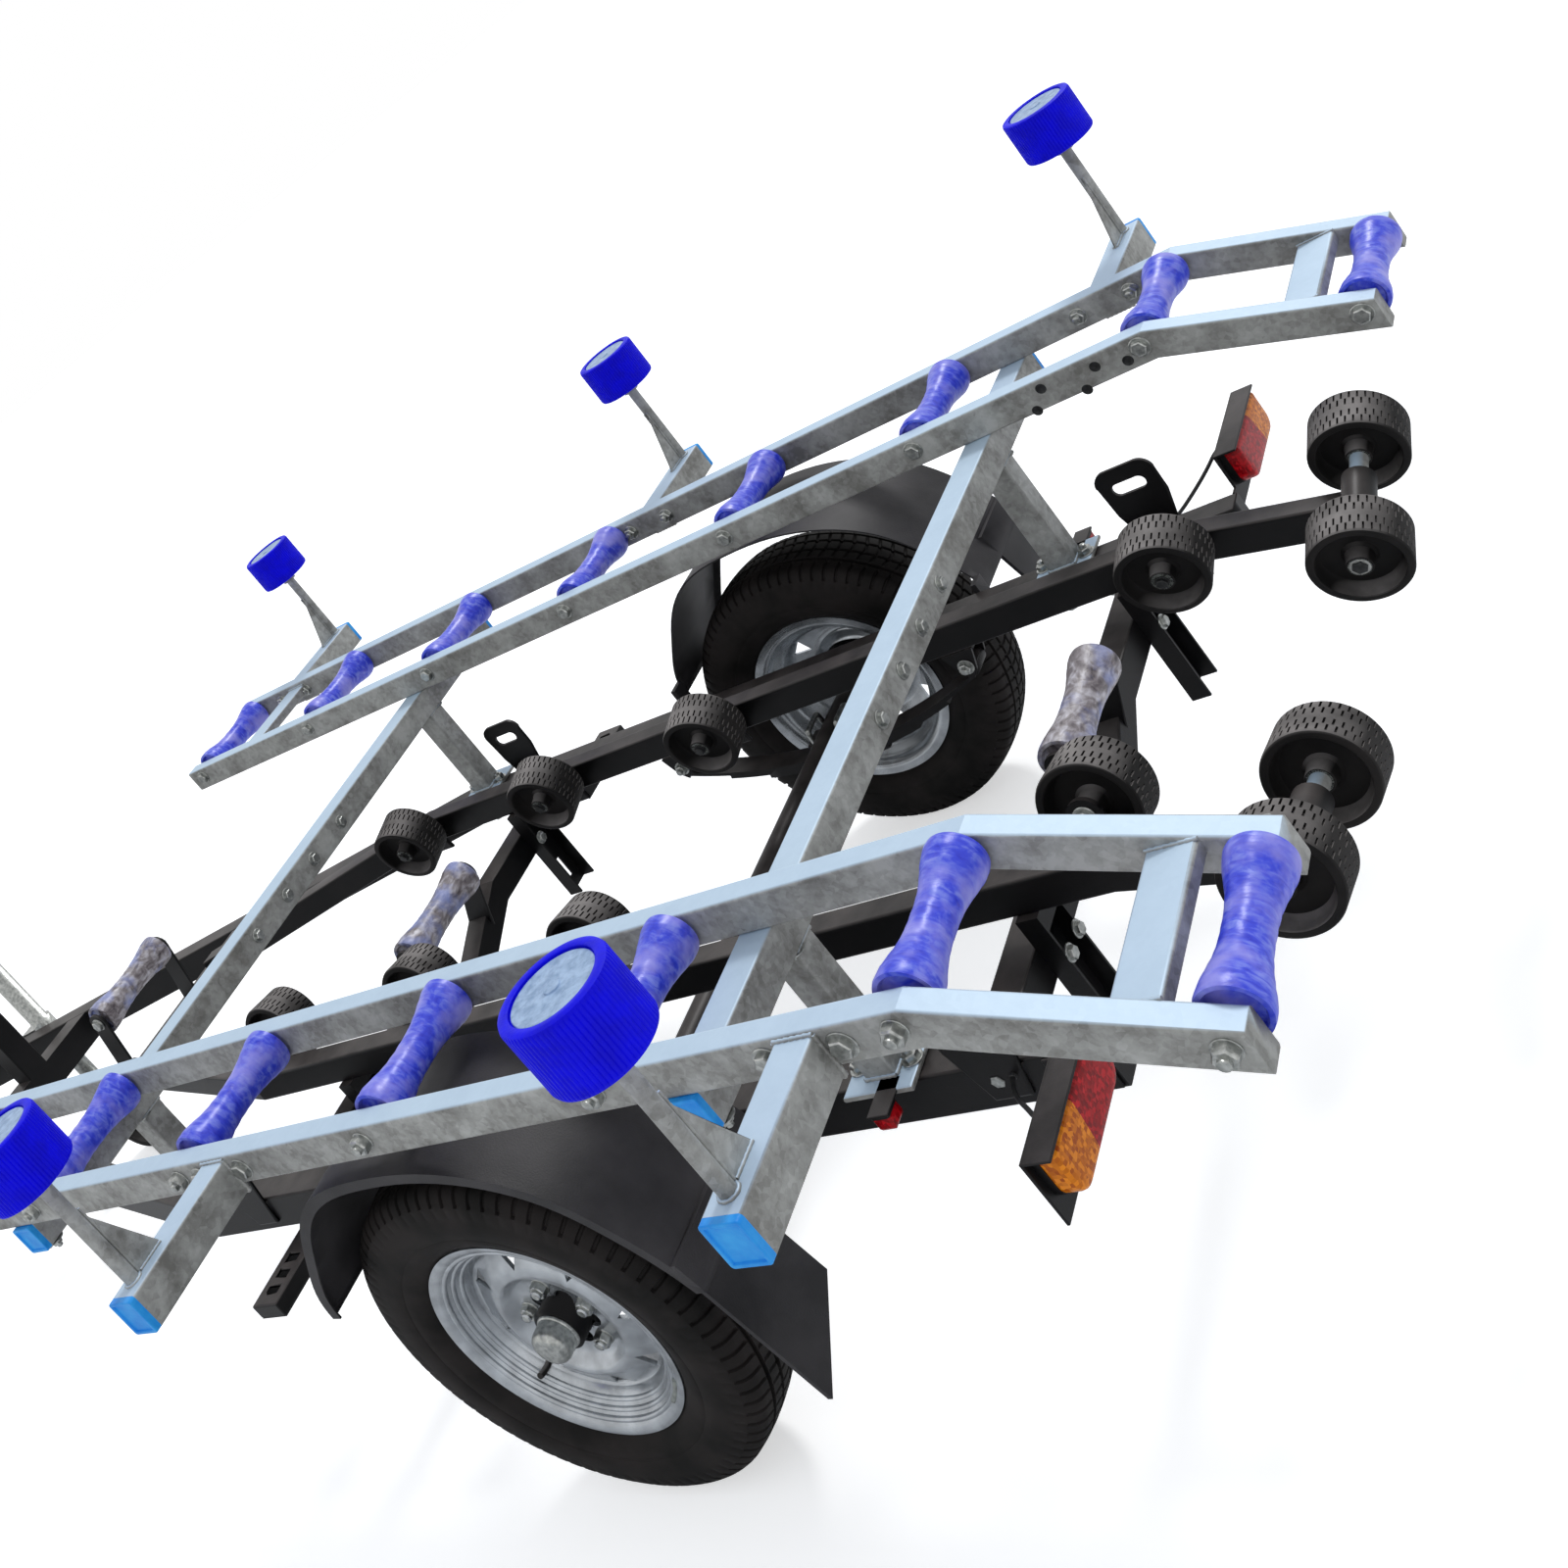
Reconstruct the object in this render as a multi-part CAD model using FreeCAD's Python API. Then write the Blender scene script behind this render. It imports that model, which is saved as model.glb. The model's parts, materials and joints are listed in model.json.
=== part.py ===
"""Boat trailer with wobble rollers, two raised roller cradles and side guides.

Lengths are in millimetres. X runs forward to the coupling, Y to the left, Z up.
The model is laid out from the axle and the ground, and is moved at the end so
that the origin is at ground level under the middle of the whole trailer.
"""
import FreeCAD
import Part
import math
import os

VEC = FreeCAD.Vector
os.makedirs("parts", exist_ok=True)

# Road wheels
TYRE_RADIUS = 297.0
TYRE_WIDTH = 165.0
TYRE_SECTION_SHARES = ((0.945, 0.2), (1.0, 0.48), (0.935, 0.74), (0.776, 0.925), (0.0, 1.0))
RIM_RADIUS = 182.5
RIM_FLANGE_HEIGHT = 17.5
RIM_WIDTH = 132.0
RIM_THICK = 5.0
RIM_WELL_DEPTH = 40.5
RIM_FLANGE_THICK = 9.0
RIM_STEPS = 3
RIM_STEP = 9.0
RIM_STEP_DROP = 8.0
DISC_OFFSET = 22.0
DISC_THICK = 6.0
DISC_BOWL_RADIUS = 92.0
DISC_BOWL_DEPTH = 18.0
DISC_HOLE_RADIUS = 37.0
DISC_LOBE_RADIUS = 14.0
DISC_LOBE_OFFSET = 39.0
DISC_WINDOWS = 8
WINDOW_HALF_WIDTH = 17.0
WINDOW_HEIGHT_SHARE = 0.28
STUDS = 5
STUD_PCD = 112.0
STUD_RADIUS = 7.0
STUD_LENGTH = 17.0
NUT_RADIUS = 10.5
NUT_HEIGHT = 12.0
HUB_FLANGE_RADIUS = 72.0
HUB_FLANGE_THICK = 12.0
HUB_RADIUS = 36.0
HUB_LENGTH = 92.0
DUST_CAP_RADIUS = 28.0
DUST_CAP_LENGTH = 34.0
DUST_CAP_ROUND_SHARE = 0.7
WHEEL_Y = 679.5

# Axle and springs
AXLE_RADIUS = 25.0
SPINDLE_RADIUS = 16.0
AXLE_HUB_GAP = 6.0
SPRING_HALF = 325.0
SPRING_WIDTH = 45.0
SPRING_LEAF = 7.0
SPRING_LEAVES = 4
SPRING_CAMBER = 62.0
SPRING_EYE_RADIUS = 15.0
SPRING_BOLT_RADIUS = 7.0
LEAF_STEP = 78.0
SEAT_LENGTH = 110.0
SEAT_THICK = 8.0
U_BOLT_RADIUS = 5.0
HANGER_WIDTH = 60.0
HANGER_PLATE = 5.0
HANGER_GAP = 1.5

# Side rails and drawbar
SIDE_Y = 520.0
SIDE_WIDTH = 50.0
SIDE_HEIGHT = 65.0
SIDE_TOP = 440.0
SIDE_REAR = -860.0
SIDE_BEND = 870.0
NOSE_X = 2700.0
NOSE_Y = 34.0

# Roller rails, the inner pair that carries the wobble rollers
INNER_Y = 330.0
INNER_WIDTH = 40.0
INNER_HEIGHT = 50.0
INNER_TOP = 525.0
INNER_TAIL_BEND = -862.0
INNER_TAIL_X = -1095.0
INNER_TAIL_DROP = 47.0
INNER_BEND = 800.0
INNER_FRONT_X = 1440.0
INNER_FRONT_Y = 150.0

# Cross members with a dropped middle
CROSS_SIZE = 50.0
CROSS_X = (-705.0, 610.0)
CROSS_KNEE_Y = 175.0
CROSS_DROP = 68.0
BOW_CROSS_X = 1530.0
POST_WIDTH = 60.0
POST_DEPTH = 30.0
POST_PLATE = 4.0
POST_BELOW = 110.0
POST_SLOT_LENGTH = 46.0
POST_SLOT_WIDTH = 13.0

# Wobble rollers
WOBBLE_RADIUS = 64.0
WOBBLE_WIDTH = 69.0
WOBBLE_TILT = 10.5
WOBBLE_X = (-850.0, 0.0, 390.0, 775.0)
WOBBLE_Y = 240.0
WOBBLE_Z = 532.0
WOBBLE_HUB_RADIUS = 17.0
WOBBLE_RIM = 11.0
WOBBLE_SHOULDER = 3.7
WOBBLE_WEB = 22.0
WOBBLE_PIN_RADIUS = 8.0
LUG_THICK = 8.0
LUG_WIDTH = 46.0
LUG_DROP = 82.0
TAIL_Y = 316.0
TAIL_RISE = 36.0
TAIL_SPREAD = 104.0
TAIL_PIN_RADIUS = 12.0
TAIL_BUSH_RADIUS = 22.0

# Keel rollers on the cross members
KEEL_X = (-753.0, 552.0, 1484.0)
KEEL_Z = (500.0, 505.0, 577.0)
KEEL_LENGTH = 205.0
KEEL_END_RADIUS = 35.0
KEEL_WAIST_RADIUS = 26.0
KEEL_PIN_RADIUS = 9.0
KEEL_EAR_THICK = 6.0
KEEL_EAR_WIDTH = 46.0
KEEL_EAR_GAP = 6.0

HOURGLASS_SHARES = ((-1.0, 1.0), (-0.84, 0.99), (-0.67, 0.66), (-0.5, 0.32), (-0.34, 0.12), (-0.16, 0.0))

# Running clearances
BORE_CLEARANCE = 0.7
HOLE_CLEARANCE = 0.3
OVERRUN = 5.0
TUBE_CORNER = 4.0

# Cradles, the raised roller ladders
CRADLE_INNER_Y = 535.0
CRADLE_OUTER_Y = 776.5
CRADLE_WIDTH = 35.0
CRADLE_HEIGHT = 50.0
CRADLE_TOP = 747.0
CRADLE_FRONT = 1575.0
CRADLE_BEND = -890.0
CRADLE_TAIL = 292.0
CRADLE_DROP = 99.0
CRADLE_ROLLER_PITCH = 402.0
CRADLE_ROLLERS_FLAT = 7
CRADLE_BEND_INSET = 13.0
CRADLE_REAR_INSET = 23.0
CRADLE_ROLLER_END_RADIUS = 35.0
CRADLE_ROLLER_WAIST_RADIUS = 24.0
CRADLE_ROLLER_SIDE_GAP = 5.5
CRADLE_PIN_RADIUS = 8.0
CRADLE_PIN_LIFT = 4.0
RUNG_WIDTH = 56.0
RUNG_HEIGHT = 20.0
RUNG_DROP = 10.0
RUNG_REAR_INSET = 97.0
RUNG_FRONT_X = 1370.0
PIN_HEAD_RADIUS = 12.0
PIN_HEAD_LENGTH = 9.0

# Portal beams under the cradles, and the posts that carry them
BEAM_X = (-576.0, 806.0)
BEAM_SIZE = 50.0
BEAM_INSET = 4.0
UPRIGHT_SIZE = 45.0
UPRIGHT_Y = 520.0
FOOT_LENGTH = 100.0
FOOT_WIDTH = 90.0
FOOT_THICK = 8.0

# Side guides
ARM_X = (-765.0, 235.0, 1390.0)
ARM_END_Y = 1003.0
ARM_WIDTH = 50.0
ARM_HEIGHT = 56.0
ARM_TOP = 742.0
GUIDE_RADIUS = 61.0
GUIDE_HEIGHT = 80.0
GUIDE_TOP = 1006.0
GUIDE_POST_RADIUS = 10.0
GUIDE_POST_INSET = 25.0
GUIDE_RECESS_RADIUS = 48.0
GUIDE_RECESS = 4.5
GUIDE_LID = 7.0
GUIDE_EDGE = 5.0
GUIDE_COLLAR_RADIUS = 16.0
GUIDE_COLLAR_HEIGHT = 12.0
GUSSET_LENGTH = 60.0
GUSSET_HEIGHT = 130.0
GUSSET_THICK = 5.0
END_CAP_THICK = 10.0

# Mudguards
GUARD_INNER_Y = 572.0
GUARD_OUTER_Y = 802.0
GUARD_SHEET = 3.0
GUARD_TOP = 674.0
GUARD_FOOT = 424.0
GUARD_FRONT = 275.0
GUARD_LENGTH = 676.0
GUARD_LINE_SHARES = ((0.0, 0.084), (0.012, 0.24), (0.071, 0.49), (0.146, 0.74), (0.22, 0.892),
                     (0.28, 0.956), (0.411, 1.0), (0.525, 0.995), (0.734, 0.852), (0.837, 0.676),
                     (0.913, 0.436), (0.975, 0.16), (1.0, 0.0))
GUARD_LIP = 16.0
FLAP_THICK = 4.0
FLAP_INNER_Y = 672.0
FLAP_TOP = 470.0
FLAP_BOTTOM = 239.0
FLAP_LEAN = 58.0
FLAP_SLANT = 58.0
STAY_WIDTH = 30.0
STAY_THICK = 5.0
STEP_X = 575.0
STEP_WIDTH = 65.0
STEP_REACH = 155.0
STEP_HEIGHT = 27.0
STEP_SHEET = 4.0
STEP_HOLE_LENGTH = 30.0
STEP_HOLE_WIDTH = 14.0

# Tail lamps
LAMP_X = -856.0
LAMP_PLATE_LOW_Y = 560.0
LAMP_PLATE_HIGH_Y = 754.0
LAMP_PLATE_BOTTOM = 411.0
LAMP_PLATE_TOP = 499.0
LAMP_PLATE_THICK = 4.0
LAMP_LENS_MARGIN = 10.0
LAMP_LENS_DEPTH = 32.0
LAMP_LENS_HEIGHT = 67.0
LAMP_CORNER = 25.0
LAMP_FOOT_LENGTH = 70.0

# Lashing plates on the side rails
LASH_X = (-725.0, 705.0)
LASH_WIDTH = 100.0
LASH_RISE = 112.0
LASH_THICK = 6.0
LASH_SLOT_LENGTH = 56.0
LASH_SLOT_WIDTH = 22.0
LASH_CORNER = 24.0
LASH_LINE_SHARES = ((1.0, 0.0), (0.9, 0.5), (0.5, 1.0), (-0.5, 1.0), (-1.0, 0.4), (-1.0, 0.0))

# Winch post, winch and bow roller
WINCH_SETBACK = 620.0
WINCH_POST_SIZE = 60.0
WINCH_POST_TOP = 905.0
WINCH_CROSS_SIZE = 50.0
BRACE_GAP = 120.0
WINCH_BRACE_SIZE = 40.0
WINCH_BRACE_JOIN = 700.0
BOW_REACH = 145.0
BOW_ROLLER_Z = 850.0
BOW_ROLLER_RADIUS = 40.0
BOW_WAIST_RADIUS = 28.8
BOW_ROLLER_LENGTH = 90.0
BOW_PIN_RADIUS = 8.0
BOW_EAR_THICK = 6.0
BOW_EAR_HEIGHT = 50.0
WINCH_PLATE_THICK = 5.0
WINCH_PLATE_RADIUS = 62.0
WINCH_HALF = 62.0
WINCH_RISE = 72.0
DRUM_RADIUS = 40.0
DRUM_FLANGE_RADIUS = 56.0
DRUM_FLANGE_THICK = 4.0
DRUM_SIDE_GAP = 5.5
DRUM_SHAFT_RADIUS = 9.0
CRANK_LENGTH = 190.0
CRANK_WIDTH = 24.0
CRANK_THICK = 8.0
CRANK_GAP = 8.0
KNOB_RADIUS = 15.0
KNOB_LENGTH = 92.0

# Coupling
BALL_DIAMETER = 50.0
BALL_CLEARANCE = 0.8
COUPLING_WIDTH = 78.0
COUPLING_HEIGHT = 62.0
COUPLING_LENGTH = 250.0
COUPLING_SEAT = 120.0
BALL_REACH = 90.0
HANDLE_LENGTH = 150.0
HANDLE_CURL = 15.0
HANDLE_WIDTH = 40.0
HANDLE_THICK = 8.0

# Jockey wheel
JOCKEY_SETBACK = 400.0
JOCKEY_TUBE_RADIUS = 24.0
JOCKEY_TUBE_WALL = 3.0
JOCKEY_INNER_RADIUS = 20.2
JOCKEY_TUBE_TOP = 780.0
JOCKEY_TUBE_BOTTOM = 380.0
JOCKEY_STEM_TOP = 560.0
JOCKEY_WHEEL_RADIUS = 100.0
JOCKEY_WHEEL_WIDTH = 50.0
JOCKEY_RIM_RADIUS = 70.0
JOCKEY_HUB_RADIUS = 25.0
JOCKEY_TREAD_SHARES = ((1.0, 0.67), (0.6, 1.0))
JOCKEY_TRAIL = 28.0
JOCKEY_FORK_GAP = 6.0
JOCKEY_FORK_PLATE = 5.0
JOCKEY_FORK_WIDTH = 44.0
JOCKEY_CROWN_TOP = 226.0
JOCKEY_CROWN_THICK = 10.0
JOCKEY_SWIVEL_GAP = 0.8
JOCKEY_HEAD_THICK = 6.0
JOCKEY_HEAD_RADIUS = 13.0
JOCKEY_AXLE_RADIUS = 8.0
JOCKEY_CLAMP_HEIGHT = 70.0
JOCKEY_CLAMP_GAP = 22.0
JOCKEY_CRANK_LENGTH = 120.0
JOCKEY_CRANK_RADIUS = 6.0

# Places worked out from the sizes above
AXLE_Z = TYRE_RADIUS
RIM_SEAT_RADIUS = RIM_RADIUS - RIM_FLANGE_HEIGHT
RIM_WELL_RADIUS = RIM_RADIUS - RIM_WELL_DEPTH
WINDOW_RADIUS = (DISC_BOWL_RADIUS + RIM_WELL_RADIUS) / 2
WINDOW_HALF_HEIGHT = (RIM_WELL_RADIUS - DISC_BOWL_RADIUS) * WINDOW_HEIGHT_SHARE
AXLE_HALF = WHEEL_Y + DISC_OFFSET - DISC_THICK - HUB_LENGTH / 2 - AXLE_HUB_GAP
SIDE_BOTTOM = SIDE_TOP - SIDE_HEIGHT
SIDE_MID = SIDE_TOP - SIDE_HEIGHT / 2
SIDE_INNER_FACE = SIDE_Y - SIDE_WIDTH / 2
SIDE_OUTER_FACE = SIDE_Y + SIDE_WIDTH / 2
DRAWBAR_SLOPE = (SIDE_Y - NOSE_Y) / (NOSE_X - SIDE_BEND)
INNER_MID = INNER_TOP - INNER_HEIGHT / 2
INNER_TAIL_MID = INNER_MID - INNER_TAIL_DROP
INNER_FRONT_MID = SIDE_TOP + INNER_HEIGHT / 2
CRADLE_MID = CRADLE_TOP - CRADLE_HEIGHT / 2
CRADLE_BOTTOM = CRADLE_TOP - CRADLE_HEIGHT
CRADLE_REAR = CRADLE_BEND - CRADLE_TAIL
CRADLE_SLOPE = CRADLE_DROP / CRADLE_TAIL
RUNG_REAR_X = CRADLE_REAR + RUNG_REAR_INSET
BEAM_HALF = CRADLE_OUTER_Y + CRADLE_WIDTH / 2 - BEAM_INSET
TAIL_Z = INNER_TAIL_MID + TAIL_RISE
GUIDE_Y = ARM_END_Y - GUIDE_POST_INSET
BEAM_TOP = CRADLE_BOTTOM
BEAM_BOTTOM = BEAM_TOP - BEAM_SIZE
BALL_Z = SIDE_MID + SIDE_HEIGHT / 4
BALL_X = NOSE_X + BALL_REACH
COUPLING_BACK = BALL_X - COUPLING_LENGTH
WINCH_POST_X = NOSE_X - WINCH_SETBACK
BOW_ROLLER_X = WINCH_POST_X - BOW_REACH
WINCH_BRACE_X = COUPLING_BACK - BRACE_GAP
JOCKEY_X = NOSE_X - JOCKEY_SETBACK
COUPLING_FRONT = BALL_X + BALL_DIAMETER / 2 + (COUPLING_WIDTH - BALL_DIAMETER) / 2
ORIGIN_X = (COUPLING_FRONT + CRADLE_REAR) / 2
SIDES = (("left", 1), ("right", -1))


def drawbar_y(x):
    """Centre line of a drawbar leg at the station x."""
    return SIDE_Y - DRAWBAR_SLOPE * (x - SIDE_BEND)


def cradle_mid(x):
    """Height of the middle of a cradle rail at the station x."""
    return CRADLE_MID - max(0.0, CRADLE_BEND - x) * CRADLE_SLOPE


def roller_rail_bottom(x):
    """Height of the underside of a roller rail at the station x."""
    slope = INNER_TAIL_DROP / (INNER_TAIL_BEND - INNER_TAIL_X)
    return INNER_TOP - INNER_HEIGHT - max(0.0, INNER_TAIL_BEND - x) * slope


def box(x0, x1, y0, y1, z0, z1):
    """Box between two corners given as ranges."""
    xs, ys, zs = sorted((x0, x1)), sorted((y0, y1)), sorted((z0, z1))
    return Part.makeBox(xs[1] - xs[0], ys[1] - ys[0], zs[1] - zs[0], VEC(xs[0], ys[0], zs[0]))


def extrude(points, run):
    """Prism from a closed polygon of vectors, pushed along the vector run."""
    return Part.Face(Part.makePolygon(list(points) + [points[0]])).extrude(run)


def tube(x0, x1, y0, y1, z0, z1, along):
    """Box tube between two corners, its edges rounded that run along the unit vector along."""
    solid = box(x0, x1, y0, y1, z0, z1)
    edges = [edge for edge in solid.Edges if abs(edge.tangentAt(edge.FirstParameter).dot(along)) > 0.5]
    return solid.makeFillet(TUBE_CORNER, edges)


def tube_wire(x, y, z, width, height):
    """Cross section of a box tube with rounded corners, in the plane across X."""
    half, rise, corner = width / 2, height / 2, TUBE_CORNER
    inset = corner * (1 - math.sqrt(0.5))
    edges = []
    last = VEC(x, y + half - corner, z + rise)
    start = last
    for sy, sz in ((1, 1), (1, -1), (-1, -1), (-1, 1)):
        before = VEC(x, y + sy * (half - corner), z + sz * rise)
        after = VEC(x, y + sy * half, z + sz * (rise - corner))
        if sy != sz:
            before, after = after, before
        if (before - last).Length > 0:
            edges.append(Part.makeLine(last, before))
        middle = VEC(x, y + sy * (half - inset), z + sz * (rise - inset))
        edges.append(Part.Arc(before, middle, after).toShape())
        last = after
    edges.append(Part.makeLine(last, start))
    return Part.Wire(edges)


def rail(stations):
    """Box rail through stations (x, y, z, width, height), each cut across X."""
    return Part.makeLoft([tube_wire(*station) for station in stations], True, True)


def turned(profile, centre, direction):
    """Solid of revolution: profile holds (along, radius) points or arcs.

    An arc is a pair of points, its middle and its end.
    """
    edges = []
    last = VEC(profile[0][0], profile[0][1], 0)
    first = last
    for item in profile[1:]:
        if isinstance(item[0], tuple):
            middle = VEC(item[0][0], item[0][1], 0)
            end = VEC(item[1][0], item[1][1], 0)
            edges.append(Part.Arc(last, middle, end).toShape())
        else:
            end = VEC(item[0], item[1], 0)
            edges.append(Part.makeLine(last, end))
        last = end
    edges.append(Part.makeLine(last, first))
    solid = Part.Face(Part.Wire(edges)).revolve(VEC(0, 0, 0), VEC(1, 0, 0), 360)
    turn = FreeCAD.Rotation(VEC(1, 0, 0), VEC(*direction))
    solid.Placement = FreeCAD.Placement(VEC(*centre), turn)
    return solid


def rod(start, end, radius):
    """Round bar between two points."""
    a, b = VEC(*start), VEC(*end)
    return Part.makeCylinder(radius, (b - a).Length, a, b - a)


def side_slot(length, width, depth, centre, along):
    """Oblong cutter with its depth along Y, its length along X or Z."""
    half = (length - width) / 2
    offset = VEC(half, 0, 0) if along == "x" else VEC(0, 0, half)
    start = VEC(*centre) - VEC(0, depth / 2, 0)
    ends = [Part.makeCylinder(width / 2, depth, start + s, VEC(0, 1, 0)) for s in (offset, -offset)]
    if along == "x":
        body = Part.makeBox(2 * half, depth, width, start - VEC(half, 0, width / 2))
    else:
        body = Part.makeBox(width, depth, 2 * half, start - VEC(width / 2, 0, half))
    return body.fuse(ends)


def mirror_y(shape):
    """Copy of a shape on the other side of the trailer."""
    return shape.mirror(VEC(0, 0, 0), VEC(0, 1, 0))


def fuse(shapes):
    """One solid from shapes that meet."""
    return shapes[0].fuse(shapes[1:]).removeSplitter()


def save(name, *shapes):
    """Write one sub-part, moved to the trailer's own origin."""
    solids = [solid for shape in shapes for solid in shape.Solids]
    whole = solids[0] if len(solids) == 1 else Part.makeCompound(solids)
    whole = whole.copy()
    whole.translate(VEC(-ORIGIN_X, 0, 0))
    whole.exportStep("parts/" + name + ".step")


def hourglass(length, end_radius, waist_radius, bore_radius, centre, direction=(0, 1, 0)):
    """Keel roller with flared ends and a narrow waist."""
    half = length / 2
    outline = [(share * half, waist_radius + rise * (end_radius - waist_radius))
               for share, rise in HOURGLASS_SHARES]
    right = list(reversed([(-along, radius) for along, radius in outline]))
    return turned([(-half, bore_radius)] + outline + right + [(half, bore_radius)], centre, direction)


def headed_pin(radius, start, end):
    """Pin along Y with a head outside each end of its span."""
    x, y0, z = start
    y1 = end[1]
    low, high = min(y0, y1), max(y0, y1)
    shank = rod((x, low, z), (x, high, z), radius)
    heads = [rod((x, low - PIN_HEAD_LENGTH, z), (x, low, z), PIN_HEAD_RADIUS),
             rod((x, high, z), (x, high + PIN_HEAD_LENGTH, z), PIN_HEAD_RADIUS)]
    return fuse([shank] + heads)


def side_rail():
    """Left side rail and its drawbar leg, which meet at the bend."""
    leg_width = SIDE_WIDTH * math.hypot(1, DRAWBAR_SLOPE)
    straight = rail([(SIDE_REAR, SIDE_Y, SIDE_MID, SIDE_WIDTH, SIDE_HEIGHT),
                     (SIDE_BEND, SIDE_Y, SIDE_MID, SIDE_WIDTH, SIDE_HEIGHT)])
    leg = rail([(SIDE_BEND, SIDE_Y, SIDE_MID, SIDE_WIDTH, SIDE_HEIGHT),
                (SIDE_BEND + SIDE_WIDTH, drawbar_y(SIDE_BEND + SIDE_WIDTH), SIDE_MID, leg_width, SIDE_HEIGHT),
                (NOSE_X, NOSE_Y, SIDE_MID, leg_width, SIDE_HEIGHT)])
    return straight, leg


def lashing_plate(x):
    """Slotted plate on the outer face of the left side rail, its upper corners rounded."""
    half = LASH_WIDTH / 2
    low = SIDE_BOTTOM + SIDE_HEIGHT / 4
    high = SIDE_TOP + LASH_RISE
    y = SIDE_OUTER_FACE
    outline = [VEC(x + half * wide, y, high - (high - low) * drop) for wide, drop in LASH_LINE_SHARES]
    plate = extrude(outline, VEC(0, LASH_THICK, 0))
    corners = [edge for edge in plate.Edges
               if abs(edge.tangentAt(edge.FirstParameter).y) > 0.5 and edge.BoundBox.ZMin > high - OVERRUN]
    plate = plate.makeFillet(LASH_CORNER, corners)
    centre = (x, y + LASH_THICK / 2, high - LASH_RISE / 3)
    return plate.cut(side_slot(LASH_SLOT_LENGTH, LASH_SLOT_WIDTH, LASH_THICK + OVERRUN, centre, "x"))


def side_rails():
    """Both side rails with their lashing plates, and the drawbar that joins them at the nose."""
    straight, leg = side_rail()
    left = fuse([straight] + [lashing_plate(x) for x in LASH_X])
    nose = box(NOSE_X - COUPLING_SEAT, NOSE_X, -NOSE_Y, NOSE_Y, SIDE_BOTTOM, SIDE_TOP)
    return left, mirror_y(left), fuse([leg, mirror_y(leg), nose])


def step_bracket():
    """Left channel under the side rail that sticks out ahead of the mudguard."""
    x0, x1 = STEP_X, STEP_X + STEP_WIDTH
    y0, y1 = SIDE_Y - SIDE_WIDTH / 2, SIDE_OUTER_FACE + STEP_REACH
    low = SIDE_BOTTOM - STEP_HEIGHT
    t = STEP_SHEET
    block = box(x0, x1, y0, y1, low, SIDE_BOTTOM)
    hollow = box(x0 + t, x1 - t, y0 - OVERRUN, y1 - t, low - OVERRUN, SIDE_BOTTOM - t)
    mid = (x0 + x1) / 2
    holes = []
    for index in range(len(KEEL_X)):
        y = y1 - STEP_HOLE_LENGTH * (index + 1)
        holes.append(box(mid - STEP_HOLE_LENGTH / 2, mid + STEP_HOLE_LENGTH / 2, y - STEP_HOLE_WIDTH / 2,
                         y + STEP_HOLE_WIDTH / 2, SIDE_BOTTOM - t - OVERRUN, SIDE_BOTTOM + OVERRUN))
    return block.cut([hollow] + holes)


def cross_member(x, keel_x, keel_z):
    """Dropped cross member with the ears of its keel roller."""
    half = CROSS_SIZE / 2
    low = SIDE_MID - CROSS_DROP
    y_end = SIDE_INNER_FACE
    top = [(-y_end, SIDE_MID), (-CROSS_KNEE_Y, SIDE_MID), (0, low), (CROSS_KNEE_Y, SIDE_MID),
           (y_end, SIDE_MID)]
    upper = [VEC(x - half, y, z + half) for y, z in top]
    lower = [VEC(x - half, y, z - half) for y, z in reversed(top)]
    beam = extrude(upper + lower, VEC(CROSS_SIZE, 0, 0))
    ear_share = min(1.0, (KEEL_LENGTH / 2 + KEEL_EAR_GAP) / CROSS_KNEE_Y)
    ears = [keel_ear(sign, x, keel_x, keel_z, low + CROSS_DROP * ear_share) for sign in (1, -1)]
    return fuse([beam] + ears)


def keel_ear(sign, x, keel_x, keel_z, low):
    """Ear that carries one end of a keel roller's pin."""
    y = sign * (KEEL_LENGTH / 2 + KEEL_EAR_GAP)
    half = CROSS_SIZE / 2
    reach = KEEL_EAR_WIDTH / 2
    outline = [VEC(x - half, y, low), VEC(x + half, y, low), VEC(x + half, y, low + half),
               VEC(keel_x + reach, y, keel_z), VEC(keel_x - reach, y, keel_z)]
    plate = extrude(outline, VEC(0, sign * KEEL_EAR_THICK, 0))
    eye = Part.makeCylinder(reach, KEEL_EAR_THICK, VEC(keel_x, y, keel_z), VEC(0, sign, 0))
    hole_start = VEC(keel_x, y - sign * OVERRUN, keel_z)
    hole = Part.makeCylinder(KEEL_PIN_RADIUS + HOLE_CLEARANCE, KEEL_EAR_THICK + 2 * OVERRUN,
                             hole_start, VEC(0, sign, 0))
    return plate.fuse(eye).cut(hole)


def bow_cross_member():
    """Straight cross member between the drawbar legs, with the forward keel ears."""
    half = CROSS_SIZE / 2
    reach = drawbar_y(BOW_CROSS_X) - SIDE_WIDTH / 2 * math.hypot(1, DRAWBAR_SLOPE)
    taper = DRAWBAR_SLOPE * half
    x = BOW_CROSS_X
    outline = [VEC(x - half, -reach - taper, SIDE_MID - half), VEC(x + half, -reach + taper, SIDE_MID - half),
               VEC(x + half, reach - taper, SIDE_MID - half), VEC(x - half, reach + taper, SIDE_MID - half)]
    beam = extrude(outline, VEC(0, 0, SIDE_TOP - SIDE_MID + half))
    ears = [keel_ear(sign, x, KEEL_X[2], KEEL_Z[2], SIDE_MID) for sign in (1, -1)]
    return fuse([beam] + ears)


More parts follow.
